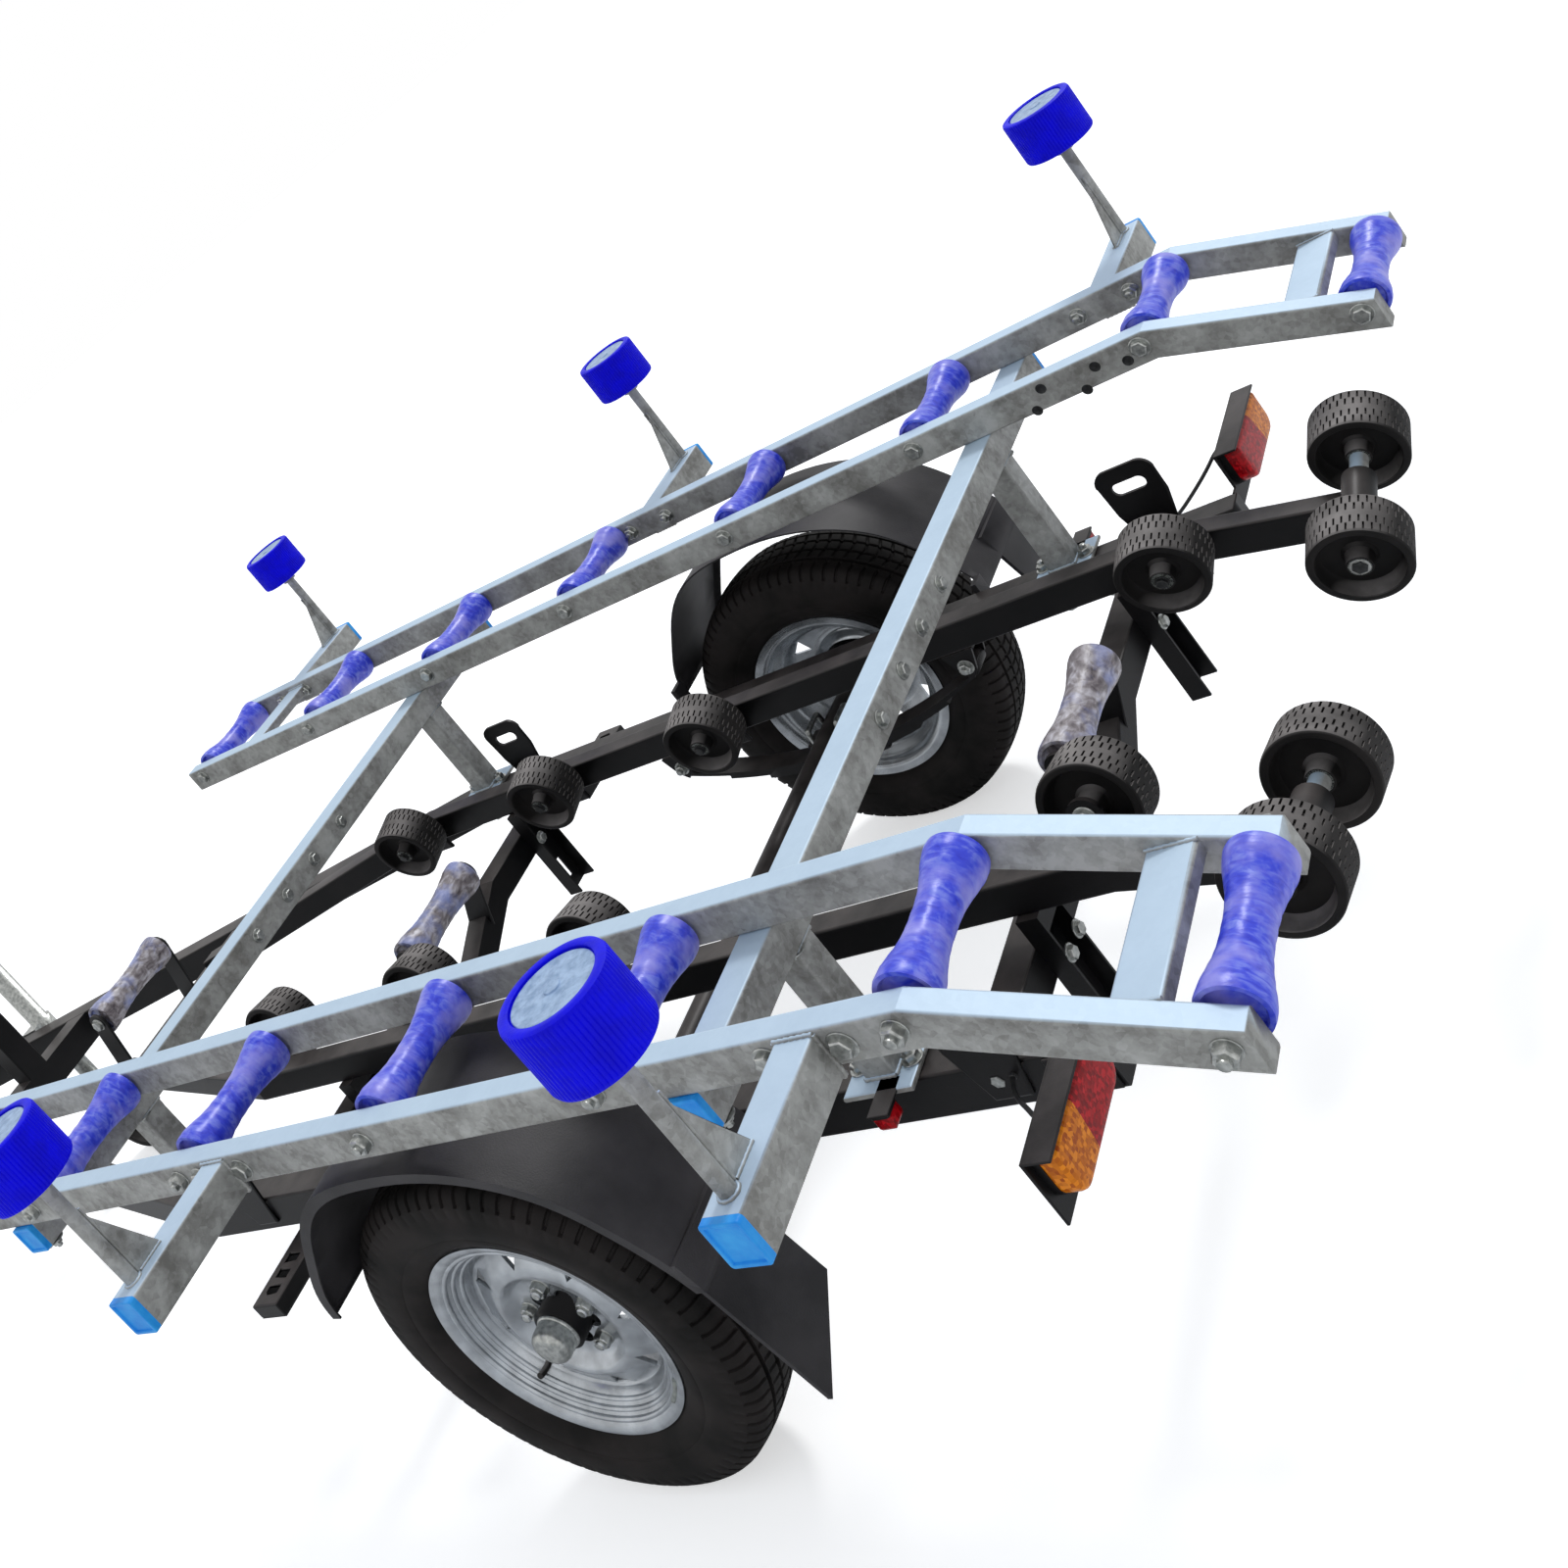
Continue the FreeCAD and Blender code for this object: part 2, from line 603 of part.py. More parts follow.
def channel_post(x):
    """Left slotted channel that ties a roller rail to a cross member."""
    bottom = SIDE_MID - CROSS_SIZE / 2 - POST_BELOW
    back = x - CROSS_SIZE / 2
    y0, y1 = INNER_Y - POST_WIDTH / 2, INNER_Y + POST_WIDTH / 2
    outer = box(back - POST_DEPTH, back, y0, y1, bottom, INNER_MID)
    hollow = box(back - POST_DEPTH - OVERRUN, back - POST_PLATE, y0 + POST_PLATE, y1 - POST_PLATE,
                 bottom - OVERRUN, INNER_MID - INNER_HEIGHT)
    slot_half = POST_SLOT_LENGTH / 2
    slot_z = bottom + POST_SLOT_LENGTH
    slot = box(back - POST_PLATE - OVERRUN, back + OVERRUN, INNER_Y - POST_SLOT_WIDTH / 2,
               INNER_Y + POST_SLOT_WIDTH / 2, slot_z - slot_half, slot_z + slot_half)
    rear = back - POST_DEPTH
    outside = y0 - OVERRUN
    under = [VEC(at, outside, roller_rail_bottom(at)) for at in (rear, back)]
    trim = extrude(under + [VEC(back, outside, INNER_TOP), VEC(rear, outside, INNER_TOP)],
                   VEC(0, POST_WIDTH + 2 * OVERRUN, 0))
    return outer.cut([hollow, slot, trim])


def tilted(y, z, along):
    """Point on a wobble roller's axis, measured outwards from its middle."""
    angle = math.radians(WOBBLE_TILT)
    return y + along * math.cos(angle), z + along * math.sin(angle)


def axis_tilted():
    """Direction of a left wobble roller's axis, outwards and up."""
    angle = math.radians(WOBBLE_TILT)
    return 0, math.cos(angle), math.sin(angle)


def lug_along():
    """Distance from a wobble roller's middle to the inner face of its lug."""
    return WOBBLE_WIDTH / 2 + KEEL_EAR_GAP


def wobble_lug(x):
    """Lug on the roller rail that carries a wobble roller's pin."""
    y, z = tilted(WOBBLE_Y, WOBBLE_Z, lug_along())
    axis = VEC(*axis_tilted())
    down = VEC(0, axis.z, -axis.y)
    across = VEC(1, 0, 0)
    centre = VEC(x, y, z)
    half = LUG_WIDTH / 2
    outline = [centre - across * half, centre - across * half + down * LUG_DROP,
               centre + across * half + down * LUG_DROP, centre + across * half]
    plate = extrude(outline, axis * LUG_THICK)
    joint = centre + down * ((centre.z - INNER_MID) / axis.y) + axis * (LUG_THICK / 2)
    foot = box(x - half, x + half, joint.y, INNER_Y, INNER_MID - LUG_THICK / 2, INNER_MID + LUG_THICK / 2)
    plate = plate.fuse(foot)
    eye = Part.makeCylinder(half, LUG_THICK, centre, axis)
    hole = Part.makeCylinder(WOBBLE_PIN_RADIUS + HOLE_CLEARANCE, LUG_THICK + 2 * OVERRUN,
                             centre - axis * OVERRUN, axis)
    return plate.fuse(eye).cut(hole)


def roller_rail():
    """Left roller rail with its lugs and the bush for the tail rollers."""
    width, height = INNER_WIDTH, INNER_HEIGHT
    body = rail([(INNER_TAIL_X, INNER_Y, INNER_TAIL_MID, width, height),
                 (INNER_TAIL_BEND, INNER_Y, INNER_MID, width, height),
                 (INNER_BEND, INNER_Y, INNER_MID, width, height),
                 (INNER_FRONT_X, INNER_FRONT_Y, INNER_FRONT_MID, width, height)])
    lugs = [wobble_lug(x) for x in WOBBLE_X]
    axis = VEC(*axis_tilted())
    bush_length = width * 1.5
    centre = VEC(INNER_TAIL_X, TAIL_Y, TAIL_Z)
    bush = Part.makeCylinder(TAIL_BUSH_RADIUS, bush_length, centre - axis * (bush_length / 2), axis)
    bore = Part.makeCylinder(TAIL_PIN_RADIUS + BORE_CLEARANCE, bush_length + 2 * OVERRUN,
                             centre - axis * (bush_length / 2 + OVERRUN), axis)
    return fuse([body] + lugs + [bush]).cut(bore)


def wobble_profile(bore_radius):
    """Cross section of a wobble roller: tread, dished sides and hub."""
    half = WOBBLE_WIDTH / 2
    tread = WOBBLE_RADIUS - WOBBLE_RIM
    web = WOBBLE_WEB / 2
    crown = WOBBLE_RADIUS
    shoulder = WOBBLE_SHOULDER
    return [(-half, bore_radius), (-half, WOBBLE_HUB_RADIUS), (-web, WOBBLE_HUB_RADIUS + shoulder),
            (-web, tread - shoulder), (-half, tread), (-half, crown - shoulder), (-half + shoulder, crown),
            (half - shoulder, crown), (half, crown - shoulder), (half, tread), (web, tread - shoulder),
            (web, WOBBLE_HUB_RADIUS + shoulder), (half, WOBBLE_HUB_RADIUS), (half, bore_radius)]


def wobble_roller(x):
    """One left wobble roller on the roller rail."""
    return turned(wobble_profile(WOBBLE_PIN_RADIUS + BORE_CLEARANCE), (x, WOBBLE_Y, WOBBLE_Z), axis_tilted())


def wobble_pin(x):
    """Pin of one left wobble roller, through its lug."""
    inner = -WOBBLE_WIDTH / 2 - HOLE_CLEARANCE
    outer = lug_along() + LUG_THICK
    stations = (inner - PIN_HEAD_LENGTH, inner, outer, outer + PIN_HEAD_LENGTH)
    points = [tilted(WOBBLE_Y, WOBBLE_Z, along) for along in stations]
    spots = [(x,) + p for p in points]
    collar = rod((x,) + tilted(WOBBLE_Y, WOBBLE_Z, WOBBLE_WIDTH / 2 + HOLE_CLEARANCE),
                 (x,) + tilted(WOBBLE_Y, WOBBLE_Z, lug_along()), PIN_HEAD_RADIUS)
    return fuse([rod(spots[1], spots[2], WOBBLE_PIN_RADIUS), rod(spots[0], spots[1], PIN_HEAD_RADIUS),
                 rod(spots[2], spots[3], PIN_HEAD_RADIUS), collar])


def tail_rollers():
    """Pair of left tail rollers fixed on the ends of one axle."""
    axis = axis_tilted()
    pair = []
    for along in (-TAIL_SPREAD, TAIL_SPREAD):
        spot = (INNER_TAIL_X,) + tilted(TAIL_Y, TAIL_Z, along)
        pair.append(turned(wobble_profile(TAIL_PIN_RADIUS / 2), spot, axis))
    axle = rod((INNER_TAIL_X,) + tilted(TAIL_Y, TAIL_Z, -TAIL_SPREAD),
               (INNER_TAIL_X,) + tilted(TAIL_Y, TAIL_Z, TAIL_SPREAD), TAIL_PIN_RADIUS)
    return fuse(pair + [axle])


def keel_roller(index):
    """Keel roller on a cross member."""
    return hourglass(KEEL_LENGTH, KEEL_END_RADIUS, KEEL_WAIST_RADIUS, KEEL_PIN_RADIUS + BORE_CLEARANCE,
                     (KEEL_X[index], 0, KEEL_Z[index]))


def keel_pin(index):
    """Pin of a keel roller, through both ears."""
    x, z = KEEL_X[index], KEEL_Z[index]
    reach = KEEL_LENGTH / 2 + KEEL_EAR_GAP + KEEL_EAR_THICK
    return headed_pin(KEEL_PIN_RADIUS, (x, -reach, z), (x, reach, z))


def cradle_roller_places():
    """Stations and heights of the rollers in one cradle, rear to front."""
    first = CRADLE_BEND + CRADLE_BEND_INSET
    stations = [CRADLE_REAR + CRADLE_REAR_INSET]
    stations += [first + CRADLE_ROLLER_PITCH * i for i in range(CRADLE_ROLLERS_FLAT)]
    return [(x, cradle_mid(x) + CRADLE_PIN_LIFT) for x in stations]


def cradle_rail(y):
    """One long rail of a cradle with the holes of its roller pins."""
    width, height = CRADLE_WIDTH, CRADLE_HEIGHT
    body = rail([(CRADLE_REAR, y, cradle_mid(CRADLE_REAR), width, height),
                 (CRADLE_BEND, y, CRADLE_MID, width, height),
                 (CRADLE_FRONT, y, CRADLE_MID, width, height)])
    holes = [Part.makeCylinder(CRADLE_PIN_RADIUS + HOLE_CLEARANCE, width + 2 * OVERRUN,
                               VEC(x, y - width / 2 - OVERRUN, z), VEC(0, 1, 0))
             for x, z in cradle_roller_places()]
    return body.cut(holes)


def rung(x):
    """Rung between the two rails of the left cradle."""
    y0 = CRADLE_INNER_Y + CRADLE_WIDTH / 2
    y1 = CRADLE_OUTER_Y - CRADLE_WIDTH / 2
    top = cradle_mid(x) + CRADLE_HEIGHT / 2 - RUNG_DROP
    return tube(x - RUNG_WIDTH / 2, x + RUNG_WIDTH / 2, y0, y1, top - RUNG_HEIGHT, top, VEC(0, 1, 0))


def cradle_ladder():
    """Left cradle: two rails and two rungs, welded."""
    rails = [cradle_rail(CRADLE_INNER_Y), cradle_rail(CRADLE_OUTER_Y)]
    return fuse(rails + [rung(RUNG_REAR_X), rung(RUNG_FRONT_X)])


def cradle_roller(x, z):
    """Roller between the two rails of the left cradle."""
    gap = CRADLE_OUTER_Y - CRADLE_INNER_Y - CRADLE_WIDTH
    middle = (CRADLE_OUTER_Y + CRADLE_INNER_Y) / 2
    return hourglass(gap - 2 * CRADLE_ROLLER_SIDE_GAP, CRADLE_ROLLER_END_RADIUS, CRADLE_ROLLER_WAIST_RADIUS,
                     CRADLE_PIN_RADIUS + BORE_CLEARANCE, (x, middle, z))


def cradle_pin(x, z):
    """Pin of a cradle roller, through both rails."""
    return headed_pin(CRADLE_PIN_RADIUS, (x, CRADLE_INNER_Y - CRADLE_WIDTH / 2, z),
                      (x, CRADLE_OUTER_Y + CRADLE_WIDTH / 2, z))


def portal(x):
    """Beam under both cradles, with its two uprights on the side rails."""
    half = BEAM_SIZE / 2
    pieces = [tube(x - half, x + half, -BEAM_HALF, BEAM_HALF, BEAM_BOTTOM, BEAM_TOP, VEC(0, 1, 0))]
    for sign in (1, -1):
        y = sign * UPRIGHT_Y
        post_half = UPRIGHT_SIZE / 2
        pieces.append(tube(x - post_half, x + post_half, y - post_half, y + post_half,
                           SIDE_TOP, BEAM_BOTTOM, VEC(0, 0, 1)))
        pieces.append(box(x - FOOT_LENGTH / 2, x + FOOT_LENGTH / 2, y - FOOT_WIDTH / 2, y + FOOT_WIDTH / 2,
                          SIDE_TOP, SIDE_TOP + FOOT_THICK))
    return fuse(pieces)


def outrigger(x):
    """Left guide arm with the post of its roller, a collar and a gusset."""
    y0 = CRADLE_OUTER_Y + CRADLE_WIDTH / 2
    half = ARM_WIDTH / 2
    arm = tube(x - half, x + half, y0, ARM_END_Y, ARM_TOP - ARM_HEIGHT, ARM_TOP, VEC(0, 1, 0))
    y = GUIDE_Y
    post_top = GUIDE_TOP - GUIDE_RECESS - GUIDE_LID - BORE_CLEARANCE
    post = rod((x, y, ARM_TOP - ARM_HEIGHT / 2), (x, y, post_top), GUIDE_POST_RADIUS)
    collar_top = GUIDE_TOP - GUIDE_HEIGHT - HOLE_CLEARANCE
    collar = rod((x, y, collar_top - GUIDE_COLLAR_HEIGHT), (x, y, collar_top), GUIDE_COLLAR_RADIUS)
    thick = GUSSET_THICK / 2
    gusset = extrude([VEC(x - thick, y, ARM_TOP), VEC(x - thick, y - GUSSET_LENGTH, ARM_TOP),
                      VEC(x - thick, y, ARM_TOP + GUSSET_HEIGHT)], VEC(GUSSET_THICK, 0, 0))
    return fuse([arm, post, collar, gusset])


def guide_roller(x):
    """Left upright guide roller on its post, closed and dished on top."""
    bore = GUIDE_POST_RADIUS + BORE_CLEARANCE
    edge = GUIDE_EDGE
    dish = GUIDE_HEIGHT - GUIDE_RECESS
    shell = [(0, bore), (0, GUIDE_RADIUS - edge), (edge, GUIDE_RADIUS), (GUIDE_HEIGHT - edge, GUIDE_RADIUS),
             (GUIDE_HEIGHT, GUIDE_RADIUS - edge), (GUIDE_HEIGHT, GUIDE_RECESS_RADIUS)]
    lid = [(dish, GUIDE_RECESS_RADIUS), (dish, 0), (dish - GUIDE_LID, 0), (dish - GUIDE_LID, bore)]
    return turned(shell + lid, (x, GUIDE_Y, GUIDE_TOP - GUIDE_HEIGHT), (0, 0, 1))


def left_end_caps():
    """Caps in the left ends of the arms and the portal beams."""
    caps = []
    for x in ARM_X:
        half = ARM_WIDTH / 2
        caps.append(box(x - half, x + half, ARM_END_Y, ARM_END_Y + END_CAP_THICK,
                        ARM_TOP - ARM_HEIGHT, ARM_TOP))
    for x in BEAM_X:
        half = BEAM_SIZE / 2
        caps.append(box(x - half, x + half, BEAM_HALF, BEAM_HALF + END_CAP_THICK, BEAM_BOTTOM, BEAM_TOP))
    return caps


def axle():
    """Axle tube with its two spindles."""
    spindle_end = WHEEL_Y + HUB_LENGTH / 2
    tube = rod((0, -AXLE_HALF, AXLE_Z), (0, AXLE_HALF, AXLE_Z), AXLE_RADIUS)
    spindle = rod((0, -spindle_end, AXLE_Z), (0, spindle_end, AXLE_Z), SPINDLE_RADIUS)
    return fuse([tube, spindle])


def leaf(index, radius, centre_z):
    """One leaf as an arc band under the axle, the first one the longest."""
    outer = radius + SPRING_LEAF * (index + 1)
    inner = radius + SPRING_LEAF * index
    half_length = SPRING_HALF - LEAF_STEP * index
    angle = math.asin(half_length / inner)
    points = []
    for r, order in ((inner, (-1, 0, 1)), (outer, (1, 0, -1))):
        points.append([VEC(r * math.sin(angle * s), 0, centre_z - r * math.cos(angle * s)) for s in order])
    top = Part.Arc(*points[0]).toShape()
    low = Part.Arc(*points[1]).toShape()
    edges = [top, Part.makeLine(points[0][2], points[1][0]), low, Part.makeLine(points[1][2], points[0][0])]
    face = Part.Face(Part.Wire(edges))
    face.translate(VEC(0, SIDE_Y - SPRING_WIDTH / 2, 0))
    return face.extrude(VEC(0, SPRING_WIDTH, 0))


def leaf_spring():
    """Left leaf pack slung under the axle, with eyes, seat, plate and U-bolts."""
    radius = (SPRING_HALF ** 2 + SPRING_CAMBER ** 2) / (2 * SPRING_CAMBER)
    top = AXLE_Z - AXLE_RADIUS - SEAT_THICK
    centre_z = top + radius
    leaves = [leaf(i, radius, centre_z) for i in range(SPRING_LEAVES)]
    y0, y1 = SIDE_Y - SPRING_WIDTH / 2, SIDE_Y + SPRING_WIDTH / 2
    eye_z = top + SPRING_CAMBER + SPRING_EYE_RADIUS - SPRING_LEAF
    pieces = list(leaves)
    for sign in (-1, 1):
        spot = (sign * SPRING_HALF, y0, eye_z)
        pieces.append(rod(spot, (sign * SPRING_HALF, y1, eye_z), SPRING_EYE_RADIUS))
    half = SEAT_LENGTH / 2
    pack_bottom = top - SPRING_LEAF * SPRING_LEAVES
    seat = box(-half, half, y0, y1, top - SPRING_LEAF, AXLE_Z).cut(
        rod((0, y0 - OVERRUN, AXLE_Z), (0, y1 + OVERRUN, AXLE_Z), AXLE_RADIUS + HOLE_CLEARANCE))
    plate = box(-half, half, y0 - 2 * U_BOLT_RADIUS, y1 + 2 * U_BOLT_RADIUS,
                pack_bottom - SEAT_THICK, pack_bottom + SPRING_LEAF / 2)
    pieces += [seat, plate]
    return fuse(pieces), eye_z


def hanger(x, eye_z, swing):
    """Spring hanger: two cheeks from the side rail to the eye bolt."""
    gap = SPRING_WIDTH / 2 + HANGER_GAP
    cheeks = []
    half = HANGER_WIDTH / 2
    lower = SPRING_EYE_RADIUS
    for sign in (-1, 1):
        y = SIDE_Y + sign * gap
        outline = [VEC(x - half + swing, y, SIDE_BOTTOM), VEC(x + half + swing, y, SIDE_BOTTOM),
                   VEC(x + lower, y, eye_z), VEC(x, y, eye_z - lower), VEC(x - lower, y, eye_z)]
        cheeks.append(extrude(outline, VEC(0, sign * HANGER_PLATE, 0)))
    top = box(x - half + swing, x + half + swing, SIDE_Y - gap, SIDE_Y + gap,
              SIDE_BOTTOM - HANGER_PLATE, SIDE_BOTTOM)
    bolt = rod((x, SIDE_Y - gap, eye_z), (x, SIDE_Y - SPRING_WIDTH / 2, eye_z), SPRING_BOLT_RADIUS)
    bolt_far = rod((x, SIDE_Y + SPRING_WIDTH / 2, eye_z), (x, SIDE_Y + gap, eye_z), SPRING_BOLT_RADIUS)
    return fuse(cheeks + [top, bolt, bolt_far])


def suspension():
    """Left spring and both of its hangers, in one bolted unit."""
    spring, eye_z = leaf_spring()
    return fuse([spring, hanger(SPRING_HALF, eye_z, 0), hanger(-SPRING_HALF, eye_z, 0)])


def tyre():
    """Left tyre."""
    bead = RIM_WIDTH / 2 - RIM_FLANGE_THICK
    lip = RIM_WIDTH / 2 - RIM_FLANGE_THICK / 2
    height = TYRE_RADIUS - RIM_RADIUS
    outer = [(TYRE_WIDTH / 2 * wide, RIM_RADIUS + height * high) for wide, high in TYRE_SECTION_SHARES]
    right = [(bead, RIM_SEAT_RADIUS), (lip, RIM_RADIUS)] + outer
    left = [(-along, radius) for along, radius in reversed(right[:-1])]
    return turned(right + left, (0, WHEEL_Y, AXLE_Z), (0, 1, 0))


def ring_window(angle):
    """Triangular cutter for the wheel disc."""
    wide = WINDOW_HALF_WIDTH
    low, high = WINDOW_RADIUS - WINDOW_HALF_HEIGHT, WINDOW_RADIUS + WINDOW_HALF_HEIGHT
    points = [VEC(-wide, 0, high), VEC(wide, 0, high), VEC(0, 0, low)]
    cutter = extrude(points, VEC(0, TYRE_WIDTH, 0))
    cutter.rotate(VEC(0, 0, 0), VEC(0, 1, 0), angle)
    cutter.translate(VEC(0, WHEEL_Y, AXLE_Z))
    return cutter


def rim():
    """Left rim: stepped barrel and a bowl-shaped disc with windows and a lobed centre."""
    half = RIM_WIDTH / 2
    flange = RIM_FLANGE_THICK
    seat = RIM_SEAT_RADIUS
    t = RIM_THICK
    well = RIM_WELL_RADIUS
    step = RIM_WIDTH / 6
    d0 = DISC_OFFSET
    ridges = []
    for index in range(RIM_STEPS):
        radius = seat - index * RIM_STEP_DROP
        along = half - flange - index * RIM_STEP
        ridges += [(along, radius - t / 2), (along - RIM_STEP / 2, radius - t)]
    barrel = turned([(-half, RIM_RADIUS), (-half + flange / 2, RIM_RADIUS), (-half + flange, seat),
                     (-step * 2, seat), (-step, well), (step, well), (step * 2, seat),
                     (half - flange, seat), (half - flange / 2, RIM_RADIUS), (half, RIM_RADIUS),
                     (half, RIM_RADIUS - t)] + ridges + [(step + t, well - t),
                     (-step - t, well - t), (-step * 2 - t, seat - t), (-half + flange - t, seat - t)],
                    (0, WHEEL_Y, AXLE_Z), (0, 1, 0))
    rise = DISC_BOWL_DEPTH
    bowl = DISC_BOWL_RADIUS
    face = [(d0, DISC_HOLE_RADIUS), (d0, bowl - rise), (d0 + rise, bowl), (d0, well - t)]
    back = [(along - DISC_THICK, radius) for along, radius in reversed(face)]
    disc = turned(face + back, (0, WHEEL_Y, AXLE_Z), (0, 1, 0))
    cuts = [ring_window(360.0 * i / DISC_WINDOWS) for i in range(DISC_WINDOWS)]
    for x, z in stud_places():
        cuts.append(rod((x, WHEEL_Y - OVERRUN, z), (x, WHEEL_Y + DISC_OFFSET + OVERRUN, z),
                        STUD_RADIUS + HOLE_CLEARANCE))
    for x, z in around_axle(DISC_LOBE_OFFSET, 1.0):
        cuts.append(rod((x, WHEEL_Y - OVERRUN, z), (x, WHEEL_Y + DISC_OFFSET + OVERRUN, z), DISC_LOBE_RADIUS))
    return fuse([barrel, disc.cut(cuts)])


def around_axle(radius, half_turns):
    """Places on a circle around the axle, one for each stud, set on by half pitches."""
    angles = [2 * math.pi * (i + half_turns / 2) / STUDS for i in range(STUDS)]
    return [(radius * math.sin(a), AXLE_Z + radius * math.cos(a)) for a in angles]


def stud_places():
    """Places of the wheel studs around the axle."""
    return around_axle(STUD_PCD / 2, 0.0)


def hub():
    """Left hub with flange, studs, nuts and dust cap."""
    back = DISC_OFFSET - DISC_THICK
    low = back - HUB_LENGTH / 2
    end = HUB_LENGTH / 2
    flange = back - HUB_FLANGE_THICK
    bore = SPINDLE_RADIUS + BORE_CLEARANCE
    rounding = DUST_CAP_ROUND_SHARE
    profile = [(low, bore), (low, HUB_RADIUS), (flange, HUB_RADIUS), (flange, HUB_FLANGE_RADIUS),
               (back, HUB_FLANGE_RADIUS), (back, HUB_RADIUS), (end, HUB_RADIUS), (end, DUST_CAP_RADIUS),
               (end + DUST_CAP_LENGTH * rounding, DUST_CAP_RADIUS),
               (end + DUST_CAP_LENGTH, DUST_CAP_RADIUS * rounding),
               (end + DUST_CAP_LENGTH, 0), (end + BORE_CLEARANCE, 0), (end + BORE_CLEARANCE, bore)]
    pieces = [turned(profile, (0, WHEEL_Y, AXLE_Z), (0, 1, 0))]
    face = WHEEL_Y + DISC_OFFSET
    for x, z in stud_places():
        pieces.append(rod((x, WHEEL_Y + back, z), (x, face + STUD_LENGTH, z), STUD_RADIUS))
        pieces.append(rod((x, face, z), (x, face + NUT_HEIGHT, z), NUT_RADIUS))
    return fuse(pieces)


def guard_point(length_share, rise_share, inset):
    """Corner of the mudguard's side outline, pushed in by inset."""
    x = GUARD_FRONT - inset - length_share * (GUARD_LENGTH - 2 * inset)
    return x, GUARD_FOOT + rise_share * (GUARD_TOP - inset - GUARD_FOOT)


def guard_band(depth, y, width):
    """Band of the mudguard's outline, depth thick inwards and width wide from y."""
    rows = []
    for inset in (0.0, depth):
        places = [guard_point(along, rise, inset) for along, rise in GUARD_LINE_SHARES]
        rows.append([VEC(x, y, z) for x, z in places])
    edges = []
    for row in rows:
        curve = Part.BSplineCurve()
        curve.interpolate(row)
        edges.append(curve.toShape())
    edges += [Part.makeLine(rows[0][end], rows[1][end]) for end in (0, -1)]
    return Part.Face(Part.Wire(Part.sortEdges(edges)[0])).extrude(VEC(0, width, 0))


def guard():
    """Left mudguard: curved sheet with a turned outer lip, a stay at each end and a flap."""
    width = GUARD_OUTER_Y - GUARD_INNER_Y
    sheet = guard_band(GUARD_SHEET, GUARD_INNER_Y, width)
    lip = guard_band(GUARD_LIP, GUARD_OUTER_Y, -GUARD_SHEET)
    stays = []
    for end, inset in ((0, -STAY_THICK), (-1, STAY_THICK)):
        x, z = guard_point(*GUARD_LINE_SHARES[end], 0.0)
        stays.append(box(x + inset - STAY_THICK, x + inset + STAY_THICK, SIDE_OUTER_FACE,
                         GUARD_INNER_Y + STAY_THICK, SIDE_TOP - STAY_WIDTH, z + STAY_WIDTH))
    return fuse([sheet, lip, flap()] + stays)


def flap():
    """Left flap behind the tyre, riveted to the mudguard's tail, longer outside."""
    (x0, z0), (x1, z1) = [guard_point(a, b, 0.0) for a, b in GUARD_LINE_SHARES[-2:]]
    x = x0 + (x1 - x0) * (FLAP_TOP - z0) / (z1 - z0)
    y0, y1 = FLAP_INNER_Y, GUARD_OUTER_Y
    corners = [(y0, FLAP_TOP), (y1, FLAP_TOP), (y1, FLAP_BOTTOM), (y0, FLAP_BOTTOM + FLAP_SLANT)]
    lean = FLAP_LEAN / (FLAP_TOP - FLAP_BOTTOM)
    points = [VEC(x - (FLAP_TOP - height) * lean, y, height) for y, height in corners]
    return extrude(points, VEC(-FLAP_THICK - GUARD_SHEET, 0, 0))


def tail_lamp():
    """Left tail lamp: folded backing plate on the rail end and a long lens."""
    y0, y1 = LAMP_PLATE_LOW_Y, LAMP_PLATE_HIGH_Y
    plate = box(LAMP_X, LAMP_X + LAMP_PLATE_THICK, y0, y1, LAMP_PLATE_BOTTOM, LAMP_PLATE_TOP)
    shelf = box(LAMP_X, LAMP_X - LAMP_LENS_DEPTH, y0, y1, LAMP_PLATE_TOP, LAMP_PLATE_TOP - LAMP_PLATE_THICK)
    foot = box(LAMP_X, LAMP_X + LAMP_FOOT_LENGTH, SIDE_OUTER_FACE, SIDE_OUTER_FACE + LAMP_PLATE_THICK,
               SIDE_BOTTOM + LAMP_PLATE_THICK, SIDE_TOP - LAMP_PLATE_THICK)
    web = box(LAMP_X, LAMP_X + LAMP_PLATE_THICK, SIDE_OUTER_FACE, y0, LAMP_PLATE_BOTTOM, SIDE_TOP)
    m = LAMP_LENS_MARGIN
    lens_top = LAMP_PLATE_TOP - LAMP_PLATE_THICK
    lens = box(LAMP_X - LAMP_LENS_DEPTH, LAMP_X, y0 + m, y1 - m, lens_top - LAMP_LENS_HEIGHT, lens_top)
    rounded = [edge for edge in lens.Edges
               if abs(edge.Length - LAMP_LENS_DEPTH) < HOLE_CLEARANCE and edge.BoundBox.ZMax < lens_top - m]
    lens = lens.makeFillet(LAMP_CORNER, rounded)
    return fuse([plate, shelf, foot, web, lens])


